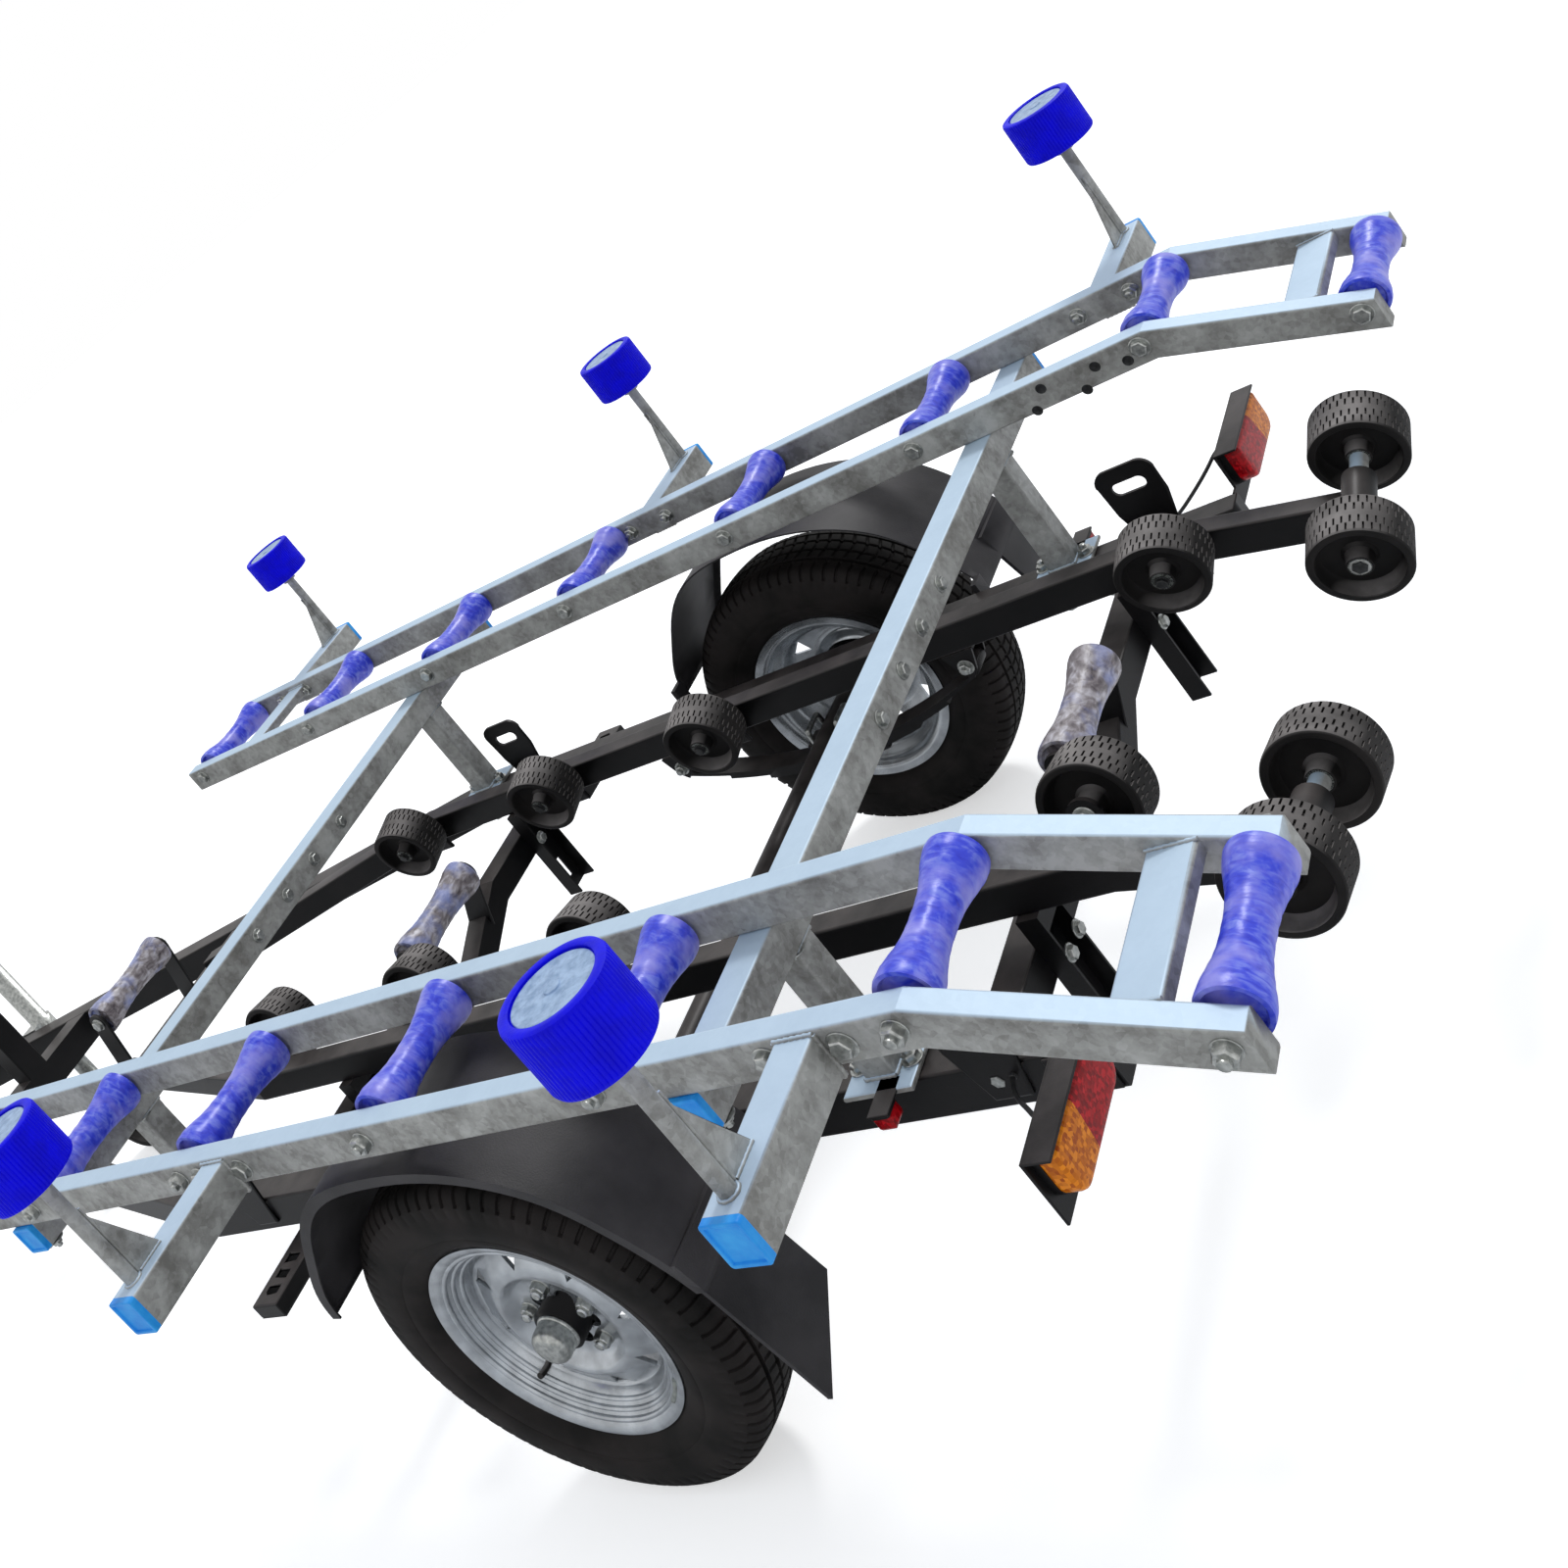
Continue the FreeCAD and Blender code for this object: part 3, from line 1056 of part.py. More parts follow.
def winch_post():
    """Winch post on its cross tube, with brace, bow roller ears and winch cheeks."""
    half = WINCH_POST_SIZE / 2
    x = WINCH_POST_X
    reach = drawbar_y(x) - SIDE_WIDTH / 2 * math.hypot(1, DRAWBAR_SLOPE)
    taper = DRAWBAR_SLOPE * half
    foot = [VEC(x - half, -reach - taper, SIDE_BOTTOM), VEC(x + half, -reach + taper, SIDE_BOTTOM),
            VEC(x + half, reach - taper, SIDE_BOTTOM), VEC(x - half, reach + taper, SIDE_BOTTOM)]
    cross = extrude(foot, VEC(0, 0, SIDE_HEIGHT))
    post = tube(x - half, x + half, -half, half, SIDE_MID, WINCH_POST_TOP, VEC(0, 0, 1))
    b = WINCH_BRACE_SIZE
    brace_y = b / 2
    brace_line = [(x, WINCH_BRACE_JOIN), (x, WINCH_BRACE_JOIN - b * 2), (WINCH_BRACE_X - b, SIDE_TOP),
                  (WINCH_BRACE_X + b / 2, SIDE_TOP)]
    brace = extrude([VEC(along, -brace_y, z) for along, z in brace_line], VEC(0, b, 0))
    brace_reach = drawbar_y(WINCH_BRACE_X)
    sole = box(WINCH_BRACE_X - b, WINCH_BRACE_X + b, -brace_reach, brace_reach,
               SIDE_TOP, SIDE_TOP + FOOT_THICK)
    pieces = [cross, post, brace, sole]
    for sign in (1, -1):
        pieces.append(bow_ear(sign))
        pieces.append(winch_cheek(sign))
    pieces.append(bow_pin())
    return fuse(pieces)


def bow_ear(sign):
    """Arm from the winch post to one end of the bow roller's pin."""
    inner = BOW_ROLLER_LENGTH / 2 + KEEL_EAR_GAP
    half = BOW_EAR_HEIGHT / 2
    y0, y1 = sorted((sign * inner, sign * (inner + BOW_EAR_THICK)))
    post_back = WINCH_POST_X - WINCH_POST_SIZE / 2
    arm = box(BOW_ROLLER_X, post_back + WINCH_POST_SIZE, y0, y1, BOW_ROLLER_Z - half, BOW_ROLLER_Z + half)
    eye = Part.makeCylinder(half, BOW_EAR_THICK, VEC(BOW_ROLLER_X, y0, BOW_ROLLER_Z), VEC(0, 1, 0))
    filler_y = sorted((sign * WINCH_POST_SIZE / 2, sign * inner))
    filler = box(post_back, post_back + WINCH_POST_SIZE, filler_y[0], filler_y[1],
                 BOW_ROLLER_Z - half, BOW_ROLLER_Z + half)
    return fuse([arm, eye, filler])


def bow_pin():
    """Pin of the bow roller."""
    reach = BOW_ROLLER_LENGTH / 2 + KEEL_EAR_GAP + BOW_EAR_THICK
    return rod((BOW_ROLLER_X, -reach, BOW_ROLLER_Z), (BOW_ROLLER_X, reach, BOW_ROLLER_Z), BOW_PIN_RADIUS)


def bow_roller():
    """Roller that the bow rests against."""
    return hourglass(BOW_ROLLER_LENGTH, BOW_ROLLER_RADIUS, BOW_WAIST_RADIUS,
                     BOW_PIN_RADIUS + BORE_CLEARANCE, (BOW_ROLLER_X, 0, BOW_ROLLER_Z))


def drum_centre():
    """Centre of the winch drum."""
    return WINCH_POST_X, 0.0, WINCH_POST_TOP + WINCH_RISE


def winch_cheek(sign):
    """Side plate of the winch frame, on the post's top."""
    x, _, z = drum_centre()
    y0, y1 = sorted((sign * WINCH_HALF, sign * (WINCH_HALF + WINCH_PLATE_THICK)))
    low = WINCH_POST_TOP
    width = WINCH_PLATE_RADIUS
    base_y = sorted((0, sign * (WINCH_HALF + WINCH_PLATE_THICK)))
    base = box(x - width, x + width, base_y[0], base_y[1], low, low + WINCH_PLATE_THICK)
    outline = [VEC(x - width, y0, low), VEC(x + width, y0, low), VEC(x + width / 2, y0, z + width / 2),
               VEC(x - width / 2, y0, z + width / 2)]
    plate = extrude(outline, VEC(0, y1 - y0, 0))
    hole = rod((x, y0 - OVERRUN, z), (x, y1 + OVERRUN, z), DRUM_SHAFT_RADIUS + BORE_CLEARANCE)
    return fuse([base, plate.cut(hole)])


def winch_drum():
    """Winch drum with its shaft, crank arm and grip."""
    x, _, z = drum_centre()
    half = WINCH_HALF - DRUM_SIDE_GAP
    t = DRUM_FLANGE_THICK
    right = [(half - t, DRUM_RADIUS), (half - t, DRUM_FLANGE_RADIUS), (half, DRUM_FLANGE_RADIUS), (half, 0)]
    left = [(-along, radius) for along, radius in reversed(right)]
    drum = turned(left + right, (x, 0, z), (0, 1, 0))
    cheek = WINCH_HALF + WINCH_PLATE_THICK
    crank_y = -cheek - CRANK_GAP
    shaft = rod((x, crank_y - CRANK_THICK, z), (x, cheek + CRANK_GAP, z), DRUM_SHAFT_RADIUS)
    arm = box(x - CRANK_WIDTH / 2, x + CRANK_WIDTH / 2, crank_y - CRANK_THICK, crank_y, z, z + CRANK_LENGTH)
    top = Part.makeCylinder(CRANK_WIDTH / 2, CRANK_THICK, VEC(x, crank_y, z + CRANK_LENGTH), VEC(0, -1, 0))
    root = Part.makeCylinder(CRANK_WIDTH / 2, CRANK_THICK, VEC(x, crank_y, z), VEC(0, -1, 0))
    knob = rod((x, crank_y - CRANK_THICK, z + CRANK_LENGTH),
               (x, crank_y - CRANK_THICK - KNOB_LENGTH, z + CRANK_LENGTH), KNOB_RADIUS)
    return fuse([drum, shaft, arm, top, root, knob])


def coupling():
    """Coupling head: body on the nose, ball socket and closed handle."""
    half = COUPLING_WIDTH / 2
    low = BALL_Z - BALL_DIAMETER / 4
    top = SIDE_TOP + FOOT_THICK
    plate = box(COUPLING_BACK, NOSE_X, -half, half, SIDE_TOP, top)
    neck = extrude([VEC(NOSE_X, -half, low), VEC(NOSE_X, -half, top), VEC(BALL_X, -half, top + FOOT_THICK),
                    VEC(BALL_X, -half, low)], VEC(0, COUPLING_WIDTH, 0))
    nose = Part.makeCylinder(half, top + FOOT_THICK - low, VEC(BALL_X, 0, low), VEC(0, 0, 1))
    ball = Part.makeSphere(BALL_DIAMETER / 2 + BALL_CLEARANCE, VEC(BALL_X, 0, BALL_Z))
    throat = Part.makeCylinder(BALL_DIAMETER / 2 + BALL_CLEARANCE, BALL_Z - low + OVERRUN,
                               VEC(BALL_X, 0, low - OVERRUN), VEC(0, 0, 1))
    handle = extrude([VEC(BALL_X - HANDLE_LENGTH, -HANDLE_WIDTH / 2, top),
                      VEC(BALL_X, -HANDLE_WIDTH / 2, top + FOOT_THICK),
                      VEC(BALL_X, -HANDLE_WIDTH / 2, top + FOOT_THICK + HANDLE_THICK),
                      VEC(BALL_X - HANDLE_LENGTH, -HANDLE_WIDTH / 2, top + FOOT_THICK * 4),
                      VEC(BALL_X - HANDLE_LENGTH - HANDLE_CURL, -HANDLE_WIDTH / 2, top + FOOT_THICK * 3)],
                     VEC(0, HANDLE_WIDTH, 0))
    return fuse([plate, neck, nose, handle]).cut([ball, throat])


def jockey_y():
    """Centre line of the jockey wheel's tube, outside the right drawbar leg."""
    leg_face = drawbar_y(JOCKEY_X) + SIDE_WIDTH / 2 * math.hypot(1, DRAWBAR_SLOPE)
    return -(leg_face + JOCKEY_CLAMP_GAP + JOCKEY_TUBE_RADIUS)


def jockey_tube():
    """Outer tube of the jockey wheel with its clamp and crank."""
    x, y = JOCKEY_X, jockey_y()
    outer = rod((x, y, JOCKEY_TUBE_BOTTOM), (x, y, JOCKEY_TUBE_TOP), JOCKEY_TUBE_RADIUS)
    bore = rod((x, y, JOCKEY_TUBE_BOTTOM - JOCKEY_CLAMP_HEIGHT),
               (x, y, JOCKEY_TUBE_TOP - JOCKEY_TUBE_WALL * 2), JOCKEY_TUBE_RADIUS - JOCKEY_TUBE_WALL)
    half = JOCKEY_CLAMP_HEIGHT / 2
    ring = rod((x, y, SIDE_MID - half), (x, y, SIDE_MID + half), JOCKEY_TUBE_RADIUS + JOCKEY_TUBE_WALL * 2)
    wide = JOCKEY_TUBE_RADIUS
    reach = DRAWBAR_SLOPE * wide
    face_y = -(drawbar_y(x) + SIDE_WIDTH / 2 * math.hypot(1, DRAWBAR_SLOPE))
    low = SIDE_MID - half
    arm = extrude([VEC(x - wide, y, low), VEC(x + wide, y, low), VEC(x + wide, face_y + reach, low),
                   VEC(x - wide, face_y - reach, low)], VEC(0, 0, JOCKEY_CLAMP_HEIGHT))
    stem = rod((x, y, JOCKEY_TUBE_TOP), (x, y, JOCKEY_TUBE_TOP + JOCKEY_TUBE_RADIUS), JOCKEY_CRANK_RADIUS)
    top = JOCKEY_TUBE_TOP + JOCKEY_TUBE_RADIUS
    lever = rod((x, y, top), (x - JOCKEY_CRANK_LENGTH, y, top), JOCKEY_CRANK_RADIUS)
    grip = rod((x - JOCKEY_CRANK_LENGTH, y, top), (x - JOCKEY_CRANK_LENGTH, y, top + JOCKEY_CRANK_LENGTH / 2),
               JOCKEY_CRANK_RADIUS * 2)
    return fuse([outer, ring, arm, stem, lever, grip]).cut(bore)


def jockey_leg():
    """Inner leg that slides in the outer tube, with the headed spindle of the fork below it."""
    x, y = JOCKEY_X, jockey_y()
    low = JOCKEY_CROWN_TOP + JOCKEY_SWIVEL_GAP
    crown_low = JOCKEY_CROWN_TOP - JOCKEY_CROWN_THICK - JOCKEY_SWIVEL_GAP
    leg = rod((x, y, low), (x, y, JOCKEY_STEM_TOP), JOCKEY_INNER_RADIUS)
    spindle = rod((x, y, crown_low), (x, y, low), JOCKEY_AXLE_RADIUS)
    head = rod((x, y, crown_low - JOCKEY_HEAD_THICK), (x, y, crown_low), JOCKEY_HEAD_RADIUS)
    return fuse([leg, spindle, head])


def jockey_fork():
    """Swivelling fork with its bored crown, cheeks and wheel axle."""
    x, y = JOCKEY_X, jockey_y()
    wheel_x = x - JOCKEY_TRAIL
    inner = JOCKEY_WHEEL_WIDTH / 2 + JOCKEY_FORK_GAP
    outer = inner + JOCKEY_FORK_PLATE
    crown_low = JOCKEY_CROWN_TOP - JOCKEY_CROWN_THICK
    half = JOCKEY_FORK_WIDTH / 2
    crown = box(x - half - JOCKEY_TRAIL / 2, x + half, y - outer, y + outer, crown_low, JOCKEY_CROWN_TOP)
    bore = rod((x, y, crown_low - OVERRUN), (x, y, JOCKEY_CROWN_TOP + OVERRUN),
               JOCKEY_AXLE_RADIUS + BORE_CLEARANCE)
    pieces = [crown.cut(bore)]
    z = JOCKEY_WHEEL_RADIUS
    for sign in (1, -1):
        y0 = y + sign * inner
        outline = [VEC(x + half, y0, crown_low), VEC(x - half - JOCKEY_TRAIL / 2, y0, crown_low),
                   VEC(wheel_x - half / 2, y0, z), VEC(wheel_x + half / 2, y0, z)]
        pieces.append(extrude(outline, VEC(0, sign * JOCKEY_FORK_PLATE, 0)))
        pieces.append(Part.makeCylinder(half / 2, JOCKEY_FORK_PLATE, VEC(wheel_x, y0, z), VEC(0, sign, 0)))
    pieces.append(rod((wheel_x, y - outer, z), (wheel_x, y + outer, z), JOCKEY_AXLE_RADIUS))
    return fuse(pieces)


def jockey_wheel():
    """Solid-tyred jockey wheel."""
    half = JOCKEY_WHEEL_WIDTH / 2
    bore = JOCKEY_AXLE_RADIUS + BORE_CLEARANCE
    web = half / 2
    height = JOCKEY_WHEEL_RADIUS - JOCKEY_RIM_RADIUS
    tread = [(half * wide, JOCKEY_RIM_RADIUS + height * high) for wide, high in JOCKEY_TREAD_SHARES]
    right = [(half, bore), (half, JOCKEY_HUB_RADIUS), (web, JOCKEY_HUB_RADIUS), (web, JOCKEY_RIM_RADIUS),
             (half, JOCKEY_RIM_RADIUS)] + tread
    left = [(-along, radius) for along, radius in reversed(right)]
    return turned(right + left, (JOCKEY_X - JOCKEY_TRAIL, jockey_y(), JOCKEY_WHEEL_RADIUS), (0, 1, 0))


def both(shape):
    """A left shape and its copy on the right."""
    return shape, mirror_y(shape)


def main():
    """Build and write every sub-part."""
    save("side_rails", *side_rails(), *both(step_bracket()))
    save("roller_rails", *both(roller_rail()))
    save("cross_members", cross_member(CROSS_X[0], KEEL_X[0], KEEL_Z[0]),
         cross_member(CROSS_X[1], KEEL_X[1], KEEL_Z[1]), bow_cross_member())
    posts = [channel_post(x) for x in CROSS_X]
    save("channel_posts", *posts, *[mirror_y(post) for post in posts])
    save("axle", axle())
    save("leaf_springs", *both(suspension()))
    save("mudguards", *both(guard()))
    save("tail_lamps", *both(tail_lamp()))
    save("portal_beams", *[portal(x) for x in BEAM_X])
    save("cradle_ladders", *both(cradle_ladder()))
    arms = [outrigger(x) for x in ARM_X]
    save("guide_arms", *arms, *[mirror_y(arm) for arm in arms])
    caps = left_end_caps()
    save("end_caps", *caps, *[mirror_y(cap) for cap in caps])
    places = cradle_roller_places()
    pins = [cradle_pin(x, z) for x, z in places] + [wobble_pin(x) for x in WOBBLE_X]
    save("roller_pins", *pins, *[mirror_y(pin) for pin in pins], *[keel_pin(i) for i in range(len(KEEL_X))])
    save("winch_post", winch_post())
    save("winch_drum", winch_drum())
    save("bow_roller", bow_roller())
    save("coupling", coupling())
    save("jockey_tube", jockey_tube())
    save("jockey_leg", jockey_leg())
    save("jockey_fork", jockey_fork())
    save("jockey_wheel", jockey_wheel())
    for index in range(len(KEEL_X)):
        save("keel_roller_%d" % (index + 1), keel_roller(index))
    for side, sign in SIDES:
        place = (lambda shape: shape) if sign > 0 else mirror_y
        save("tyre_" + side, place(tyre()))
        save("wheel_" + side, place(rim()), place(hub()))
        save("tail_rollers_" + side, place(tail_rollers()))
        for index, (x, z) in enumerate(places):
            save("cradle_roller_%s_%d" % (side, index + 1), place(cradle_roller(x, z)))
        for index, x in enumerate(WOBBLE_X):
            save("wobble_roller_%s_%d" % (side, index + 1), place(wobble_roller(x)))
        for index, x in enumerate(ARM_X):
            save("guide_roller_%s_%d" % (side, index + 1), place(guide_roller(x)))


main()
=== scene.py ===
"""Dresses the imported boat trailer: camera, light, finishes and the pieces that the CAD leaves plain."""

import json
import logging
import math
from dataclasses import dataclass, field
from functools import partial
from typing import Callable, Dict, List, Optional, Sequence, Tuple

import bmesh
import bpy
import numpy as np
from mathutils import Matrix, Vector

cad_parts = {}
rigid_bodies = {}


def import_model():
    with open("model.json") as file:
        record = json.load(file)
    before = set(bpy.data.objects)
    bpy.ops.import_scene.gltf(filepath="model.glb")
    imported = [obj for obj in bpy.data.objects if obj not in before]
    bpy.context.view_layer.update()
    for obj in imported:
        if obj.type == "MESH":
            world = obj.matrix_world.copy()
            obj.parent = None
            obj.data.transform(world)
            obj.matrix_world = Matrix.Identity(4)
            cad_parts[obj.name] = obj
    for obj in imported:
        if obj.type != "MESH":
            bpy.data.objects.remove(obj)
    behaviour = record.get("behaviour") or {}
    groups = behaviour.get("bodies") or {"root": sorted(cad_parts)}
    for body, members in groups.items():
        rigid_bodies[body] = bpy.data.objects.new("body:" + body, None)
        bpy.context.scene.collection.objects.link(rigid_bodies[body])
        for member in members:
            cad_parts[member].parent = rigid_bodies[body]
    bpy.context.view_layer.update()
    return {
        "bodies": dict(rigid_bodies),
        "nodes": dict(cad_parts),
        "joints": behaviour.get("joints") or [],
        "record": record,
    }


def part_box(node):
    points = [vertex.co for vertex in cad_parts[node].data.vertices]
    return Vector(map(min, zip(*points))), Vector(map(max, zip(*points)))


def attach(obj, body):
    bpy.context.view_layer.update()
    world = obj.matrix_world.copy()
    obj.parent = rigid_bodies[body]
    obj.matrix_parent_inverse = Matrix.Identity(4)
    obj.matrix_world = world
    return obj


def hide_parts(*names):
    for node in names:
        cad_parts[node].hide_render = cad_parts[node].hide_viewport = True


LOG = logging.getLogger("trailer")
Vec = Tuple[float, float, float]
Floats = Sequence[float]
Pairs = Tuple[Tuple[float, float], ...]
Material = bpy.types.Material
Node = bpy.types.Node
Socket = bpy.types.NodeSocket
MM = 0.001
MERGE_M = 2e-6
WHITE = (1.0, 1.0, 1.0, 1.0)
MIRROR = np.array([-1.0, 1.0])
CORNER_POINTS = 7


def linear(hex_colour: str) -> Tuple[float, float, float, float]:
    """Turns an sRGB colour, six hex digits with a leading hash, to the linear RGBA that a socket takes."""
    values = [int(hex_colour[i:i + 2], 16) / 255.0 for i in (1, 3, 5)]
    red, green, blue = [v / 12.92 if v <= 0.04045 else ((v + 0.055) / 1.055) ** 2.4 for v in values]
    return red, green, blue, 1.0


def feed(node: Node, inputs: Dict[object, object]) -> None:
    """Sets a node's inputs by name or number, each to a value or to the socket that feeds it."""
    for name, value in inputs.items():
        if isinstance(value, Socket):
            node.id_data.links.new(value, node.inputs[name])
        else:
            node.inputs[name].default_value = value


def add(owner: bpy.types.ID, kind: str, inputs: Optional[Dict[object, object]] = None,
        **settings: object) -> Node:
    """Adds a shader node.

    Args:
        owner: the material or the world whose tree gets the node.
        kind: the node's type name, less its first word ShaderNode.
        inputs: input name or number to its value or to the socket that feeds it.
        settings: the node's attributes.

    Returns:
        The new node.
    """
    node = owner.node_tree.nodes.new("ShaderNode" + kind)
    for name, value in settings.items():
        setattr(node, name, value)
    feed(node, inputs or {})
    return node


class Skin:
    """A finish in the making: its shader, and short calls for the nodes that the finishes share."""

    def __init__(self, name: str) -> None:
        """Makes a material with only a Principled shader, and finds the place in the trailer's frame."""
        self.material = bpy.data.materials.new(name)
        self.material.use_nodes = True
        self.material.node_tree.nodes.clear()
        self.add = partial(add, self.material)
        self.shader = self.add("BsdfPrincipled")
        self.add("OutputMaterial", {"Surface": self.shader.outputs["BSDF"]})
        self.place = self.add("TexCoord").outputs["Object"]

    def noise(self, scale: float, detail: float, **more: object) -> Socket:
        """Returns noise of a scale per metre."""
        inputs = {"Vector": self.place, "Scale": scale, "Detail": detail, **more}
        return self.add("TexNoise", inputs).outputs["Fac"]

    def cells(self, size_mm: float, **more: object) -> Tuple[Socket, Socket]:
        """Returns the shade of each cell of a size, and the distance from its middle."""
        inputs = {"Vector": self.place, "Scale": 1.0 / (size_mm * MM), **more}
        cell = self.add("TexVoronoi", inputs).outputs
        return self.add("SeparateColor", {"Color": cell["Color"]}).outputs[0], cell["Distance"]

    def ramp(self, share: Socket, *stops: Tuple[float, str]) -> Socket:
        """Returns the colour at a share, between stops of a place and a colour."""
        node = self.add("ValToRGB", {0: share})
        elements = node.color_ramp.elements
        while len(elements) < len(stops):
            elements.new(0.5)
        for element, (position, colour) in zip(elements, stops):
            element.position, element.color = position, linear(colour)
        return node.outputs[0]

    def span(self, value: Socket, low: float, high: float, least: float = 0.0, most: float = 1.0) -> Socket:
        """Returns least where a value is low, most where it is high, and an even rise between the two."""
        return self.add("MapRange", {0: value, 1: low, 2: high, 3: least, 4: most}).outputs[0]

    def maths(self, operation: str, *values: object) -> Socket:
        """Returns the result of an operation on sockets and numbers."""
        return self.add("Math", dict(enumerate(values)), operation=operation).outputs[0]

    def mean(self, share: float, first: Socket, second: Socket) -> Socket:
        """Returns a number between the first and the second, nearer to the second as the share grows."""
        return self.add("Mix", {0: share, 2: first, 3: second}, data_type="FLOAT").outputs[0]

    def blend(self, share: Socket, first: object, second: object) -> Socket:
        """Returns a colour between the first and the second, nearer to the second as the share grows."""
        return self.add("Mix", {0: share, 6: first, 7: second}, data_type="RGBA").outputs[2]

    def facing_up(self, low: float, high: float) -> Socket:
        """Returns how far a face looks up, from 0 where its normal's height is low to 1 where it is high."""
        normal = self.add("NewGeometry").outputs["Normal"]
        return self.span(self.add("SeparateXYZ", {0: normal}).outputs["Z"], low, high)

    def finished(self, colour: Socket, height: Socket, depth_mm: float, **values: object) -> Material:
        """Wires the shader.

        Args:
            colour: socket with the colour.
            height: socket with the height of the surface's roughness, 0 to 1.
            depth_mm: the height that 1 stands for.
            values: the shader's other inputs, an underscore for each space in a name.

        Returns:
            The material.
        """
        bump = self.add("Bump", {"Strength": 1.0, "Distance": depth_mm * MM, "Height": height})
        feed(self.shader, {"Base Color": colour, "Normal": bump.outputs["Normal"]})
        feed(self.shader, {name.replace("_", " "): value for name, value in values.items()})
        return self.material


def link(name: str, data: bpy.types.ID) -> bpy.types.Object:
    """Puts a mesh, a curve, a light or a camera in the scene."""
    thing = bpy.data.objects.new(name, data)
    bpy.context.scene.collection.objects.link(thing)
    return thing


def stand(name: str, data: bpy.types.ID, body: str, node: str = "") -> bpy.types.Object:
    """Puts a mesh or a curve in the scene as one piece that rides on a body.

    Args:
        name: the piece's name.
        data: its mesh or curve.
        body: the body that it rides on.
        node: the CAD node that it stands in the place of, if any.

    Returns:
        The piece.
    """
    piece = link(name, data)
    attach(piece, body)
    if node:
        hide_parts(node)
    LOG.info("%s: on %s", name, body)
    return piece


def mirrored(left: np.ndarray) -> np.ndarray:
    """Closed section from its left half: the half, then its mirror image, then the first point again."""
    return np.concatenate([left, left[::-1] * MIRROR, left[:1]])


@dataclass
class Surface:
    """Grids of points gathered into one mesh, each cell of a grid a quad."""

    points: List[np.ndarray] = field(default_factory=list)
    quads: List[np.ndarray] = field(default_factory=list)
    marks: List[np.ndarray] = field(default_factory=list)
    count: int = 0

    def grid(self, points: np.ndarray, mark: int = 0) -> None:
        """Adds a grid of points, rows along u and columns along v.

        Args:
            points: array of shape (rows, columns, 3), in metres.
            mark: the material slot of its faces.
        """
        rows, columns = points.shape[:2]
        index = np.arange(rows * columns).reshape(rows, columns) + self.count
        corners = [index[:-1, :-1], index[1:, :-1], index[1:, 1:], index[:-1, 1:]]
        cells = np.stack(corners, axis=-1).reshape(-1, 4)
        self.points.append(points.reshape(-1, 3))
        self.quads.append(cells)
        self.marks.append(np.full(len(cells), mark))
        self.count += rows * columns

    def piece(self, name: str, materials: Sequence[Material], body: str, slot: str,
              sharp_deg: float = 35.0, node: str = "") -> None:
        """Writes the gathered grids as one object that rides on a body.

        Doubled points are merged, which closes seams and poles, and then the faces are turned outwards.

        Args:
            name, body, node: as stand takes them.
            slot: not used.
            materials: its material slots, in the order of the marks.
            sharp_deg: edges that turn more than this stay crisp.
        """
        mesh = bpy.data.meshes.new(name)
        mesh.from_pydata(np.concatenate(self.points).tolist(), [], np.concatenate(self.quads).tolist())
        mesh.polygons.foreach_set("material_index", np.concatenate(self.marks).astype(np.int32))
        for material in materials:
            mesh.materials.append(material)
        work = bmesh.new()
        work.from_mesh(mesh)
        bmesh.ops.remove_doubles(work, verts=work.verts, dist=MERGE_M)
        bmesh.ops.recalc_face_normals(work, faces=work.faces)
        work.to_mesh(mesh)
        work.free()
        mesh.shade_smooth()
        mesh.set_sharp_from_angle(angle=math.radians(sharp_deg))
        stand(name, mesh, body, node)


def cross_axes(axis: np.ndarray) -> Tuple[np.ndarray, np.ndarray, np.ndarray]:
    """Returns the unit axis and two directions square to it, right-handed."""
    along = np.asarray(axis, float) / np.linalg.norm(axis)
    helper = np.array([0.0, 0.0, 1.0]) if abs(along[2]) < 0.9 else np.array([1.0, 0.0, 0.0])
    first = np.cross(helper, along)
    first /= np.linalg.norm(first)
    return along, first, np.cross(along, first)


def pitch_angles(pitches: int, shares: Floats) -> np.ndarray:
    """Angles of a full turn: the same shares of each pitch, and the first one again at the end.

    Args:
        pitches: number of pitches in the turn.
        shares: rising places within one pitch, from 0 up to 1.

    Returns:
        Angles in radians, one more than pitches times shares.
    """
    places = (np.arange(pitches)[:, None] + np.asarray(shares, float)).ravel()
    return np.append(places, pitches + shares[0]) * 2 * math.pi / pitches


